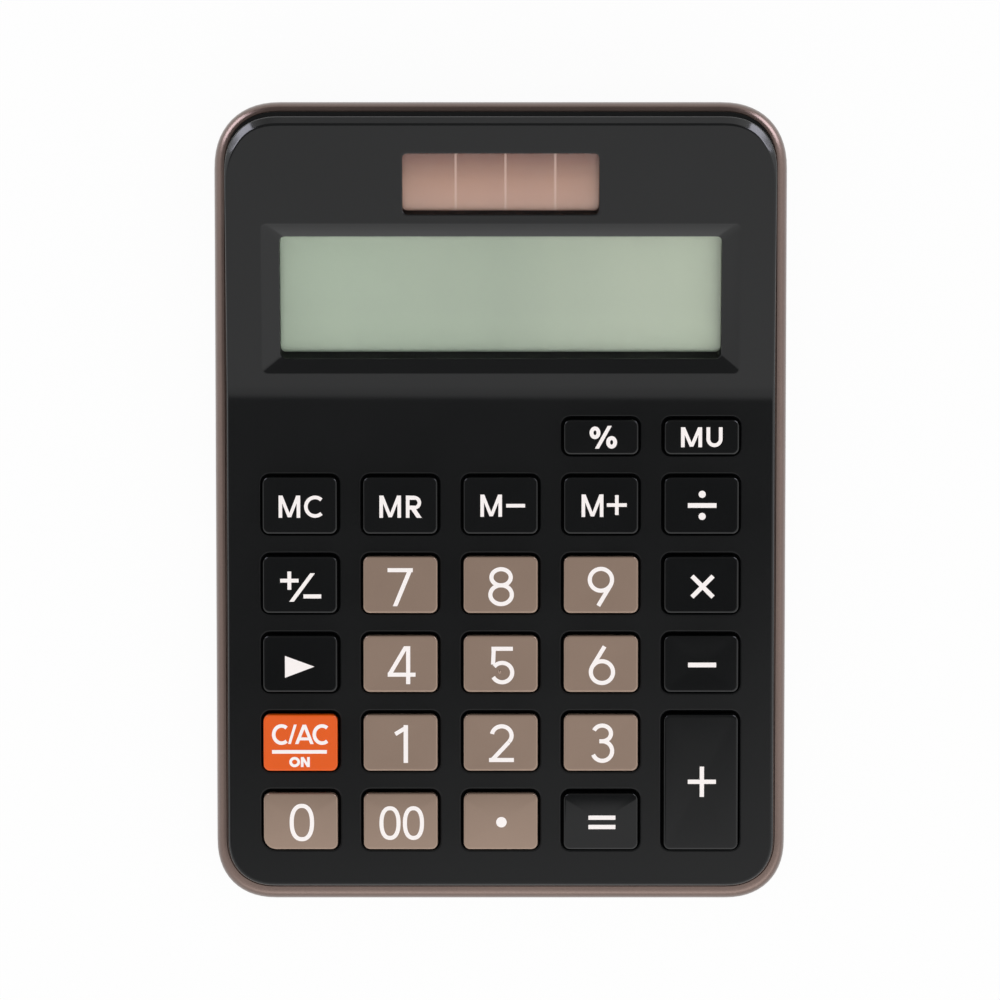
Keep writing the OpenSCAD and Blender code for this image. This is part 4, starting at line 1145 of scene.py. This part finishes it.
def solar_finish():
    """Four amorphous silicon cells side by side: warm brown, with paler lines between and fine streaks, and
    painted shade that darkens them towards the rear.
    """
    made = Finish("solar_brown", roughness=0.35)
    lo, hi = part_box("solar_cell")
    at = made.axes()
    first, pitch = -8.25 * MM, 9.12 * MM  # the first line between two cells, and from line to line
    across = made.spread(at["X"], first - pitch / 2, first + 2.5 * pitch, 0.5, 3.5)
    place = made.math("FRACT", across)
    middle = made.math("ABSOLUTE", made.math("SUBTRACT", place, 0.5))
    line = made.spread(middle, 0.470, 0.485, 0.0, 0.6)
    up = made.spread(at["Y"], lo.y, hi.y, 0.0, 1.0)
    # Painted shade: the cells darken towards the rear, where the opening's rear wall shades them
    body = made.ramp(up, [(0.1, tone(190, 149, 132)), (0.5, tone(166, 124, 106)), (0.9, tone(104, 58, 44))])
    streak = made.noise(90.0, 2.0, stretch=(1.0, 0.5, 0.5))
    tone_and_painted_light = made.ramp(streak, [(0.3, (0.95, 0.93, 0.94, 1.0)), (0.7, (1.04, 1.04, 1.03, 1.0))])
    face = made.mix(1.0, body, tone_and_painted_light, "MULTIPLY")
    made.set("Base Color", made.mix(line, face, tone(204, 172, 160)))
    made.rough(streak, 0.3, 0.4)
    return made.material


def metal(name, base, rough, scale):
    """Plated or turned metal: fine brushed lines and a slightly uneven shine."""
    made = Finish(name, roughness=rough, metallic=1.0)
    line = made.noise(scale, 3.0, 0.6, stretch=(1.0, 0.15, 1.0))
    made.set("Base Color", made.ramp(line, [(0.3, scaled(base, 0.86)), (0.7, base)]))
    made.rough(line, rough * 0.8, rough * 1.25)
    made.bump(line, 0.003)
    return made.material


def board_finish():
    """Green laminate: a woven glass cloth under the lacquer and paler copper runs."""
    made = Finish("board_green", roughness=0.4)
    weave = made.node("TexBrick", Vector=made.coords, Scale=900.0, Color1=tone(44, 96, 60),
                      Color2=tone(38, 86, 54), Mortar=tone(32, 74, 46)).outputs["Color"]
    runs = made.noise(240.0, 1.0, stretch=(1.0, 0.2, 1.0))
    made.set("Base Color", made.mix(made.spread(runs, 0.48, 0.52, 0.0, 0.5), weave, tone(58, 112, 62)))
    made.rough(runs, 0.34, 0.46)
    made.bump(runs, 0.02)
    return made.material


def film(name, colour, gloss, ribs=0.0):
    """Thin plastic film, with copper lines along it where it carries current."""
    made = Finish(name, roughness=gloss)
    cloud = made.noise(300.0, 2.0)
    base = made.ramp(cloud, [(0.3, scaled(colour, 0.85)), (0.7, colour)])
    if ribs:
        wave = made.math("ABSOLUTE", made.math("SINE", made.math("MULTIPLY", made.axes()["X"], ribs)))
        base = made.mix(made.spread(wave, 0.6, 0.8, 0.0, 1.0), base, tone(70, 60, 48))
    made.set("Base Color", base)
    made.rough(cloud, gloss * 0.85, gloss * 1.15)
    made.bump(cloud, 0.004)
    return made.material


def inner_pieces():
    """Finishes of the CAD nodes that stay as they are."""
    window = clear_plastic("clear_acrylic", (0.97, 0.98, 0.97, 1.0), 0.04)
    paint(window, "display_window", "solar_window")
    paint(display_finish(), "front_polariser")
    paint(clear_plastic("display_glass", (0.9, 0.95, 0.92, 1.0), 0.02), "front_glass", "rear_glass")
    paint(film("reflector_silver", tone(190, 194, 190), 0.35), "rear_reflector")
    paint(solar_finish(), "solar_cell")
    paint(INNER, "display_frame", "solar_tray", "board_chips")
    steel = metal("plated_steel", tone(190, 190, 192), 0.3, 2600.0)
    paint(steel, "frame_screws", "board_screws", "case_screws", "door_screw")
    paint(film("ribbon_amber", tone(176, 120, 52), 0.35, 5200.0), "display_ribbon")
    paint(moulded("pad_foam", tone(56, 56, 58), (0.85, 0.95), 1500.0, 0.08, 0.25), "solar_pad")
    paint(SILICONE, "rubber_keypad")
    paint(CARBON, "contact_pills")
    paint(board_finish(), "circuit_board")
    paint(moulded("chip_resin_black", tone(24, 24, 25), (0.3, 0.5), 900.0, 0.03, 0.2), "chip_cap")
    paint(moulded("capacitor_blue", tone(28, 42, 92), (0.3, 0.4), 1600.0, 0.01, 0.08), "board_capacitor")
    paint(metal("cell_steel", tone(205, 205, 202), 0.22, 3400.0), "button_cell")
    paint(metal("spring_brass", tone(206, 172, 104), 0.28, 3000.0), "cell_spring", "cell_strip")
    for colour, shade in (("red", tone(170, 24, 22)), ("black", tone(26, 26, 28))):
        sleeve = moulded("lead_" + colour + "_sleeve", shade, (0.35, 0.5), 3200.0, 0.006, 0.08)
        paint(sleeve, "solar_lead_" + colour, "cell_lead_" + colour)


# ---- floor, light and camera ----


def floor():
    """A pale floor that looks plain white, keeps a soft contact shadow and throws light as paper does."""
    mesh = bpy.data.meshes.new("floor")
    mesh.from_pydata([(-3, -3, 0), (3, -3, 0), (3, 3, 0), (-3, 3, 0)], [], [(0, 1, 2, 3)])
    made = Finish("floor_white", roughness=0.9, ior=1.5)
    made.set("Base Color", made.ramp(made.noise(60.0), [(0.0, grey(0.84)), (1.0, grey(0.87))]))
    path = made.node("LightPath").outputs
    seen = made.math("MAXIMUM", path["Is Camera Ray"], path["Is Glossy Ray"])
    share = made.math("MULTIPLY", made.math("MAXIMUM", seen, path["Is Transmission Ray"]), 0.95)
    white = made.node("Emission").outputs["Emission"]
    made.surface(made.blend(share, made.shader.outputs["BSDF"], white))
    mesh.materials.append(made.material)
    in_scene("floor", mesh)


WORLD_FRONT = 1.05  # level of the plain light at the front and at the rear
WORLD_REAR = 0.35
PATCH = ((42.0, 0.22), (46.0, 0.16), (48.0, 0.05), (49.5, 0.10), (50.2, 0.85), (57.0, 0.78), (59.5, 1.0),
         (100.0, 1.2), (108.0, 2.2))  # level in reflections by the angle in degrees from the patch's axis
PATCH_LEAN = math.radians(36.0)


def studio():
    """White light all round, less from the rear, and in reflections a dark patch overhead that leans back.

    The patch is a ramp over the angle between a direction and the patch's axis."""
    world = bpy.data.worlds.new("studio")
    bpy.context.scene.world = world
    world.use_nodes = True
    made = Wiring(world.node_tree, "Generated")
    toward = made.node("VectorMath")
    toward.operation = "DOT_PRODUCT"
    made.feed(toward.inputs[0], made.coords)
    made.feed(toward.inputs[1], Vector((-0.20, math.sin(PATCH_LEAN), math.cos(PATCH_LEAN))).normalized())
    angle = made.math("DIVIDE", made.math("ARCCOSINE", toward.outputs["Value"]), math.pi)
    patch = made.ramp(angle, [(degrees / 180, grey(level)) for degrees, level in PATCH])
    plain = made.spread(made.axes()["Y"], -0.6, 0.8, WORLD_FRONT, WORLD_REAR)
    path = made.node("LightPath").outputs
    plain = made.mix(path["Is Camera Ray"], plain, grey(1.0))
    either = made.math("MAXIMUM", path["Is Camera Ray"], path["Is Diffuse Ray"])
    made.feed(made.nodes["Background"].inputs["Color"], made.mix(either, patch, plain))


def lamp(name, at, size, power, colour=(1.0, 1.0, 1.0), gloss=True, diffuse=True):
    """A square soft lamp that faces the object; it can be left out of reflections or of plain light."""
    data = bpy.data.lights.new(name, "AREA")
    data.shape = "SQUARE"
    data.size = size
    data.energy = power
    data.color = colour
    piece = in_scene(name, data)
    way = Vector((0.0, 0.0, 0.01)) - Vector(at)
    piece.location = at
    piece.rotation_euler = way.to_track_quat("-Z", "Y").to_euler()
    piece.visible_glossy = gloss
    piece.visible_diffuse = diffuse


def camera():
    """A long lens straight above the middle of the object."""
    data = bpy.data.cameras.new("camera")
    data.lens = 172.2
    data.sensor_width = 36.0
    data.shift_x = -0.0007
    data.shift_y = 0.0022
    data.clip_start = 0.01
    data.clip_end = 20.0
    piece = in_scene("camera", data)
    piece.location = (0.0, 0.0, 0.9)
    bpy.context.scene.camera = piece


camera()
floor()
studio()
lamp("front_softbox", (0.12, -0.28, 1.15), 0.9, 3.4, gloss=False)
for side_name, sign in (("left", -1), ("right", 1)):
    card_at = (0.175 * sign, 0.165, 0.062)
    lamp("rear_" + side_name + "_card", card_at, 0.12, 0.27, (0.86, 0.86, 1.0), diffuse=False)
bpy.context.scene.view_settings.view_transform = "Standard"

upper_shell()
lower_shell()
underside_pieces()
for key_node in KEY_NODES:
    keycap(key_node)
keypad()
for key_node, figure in legends().items():
    legend(key_node, figure)
inner_pieces()
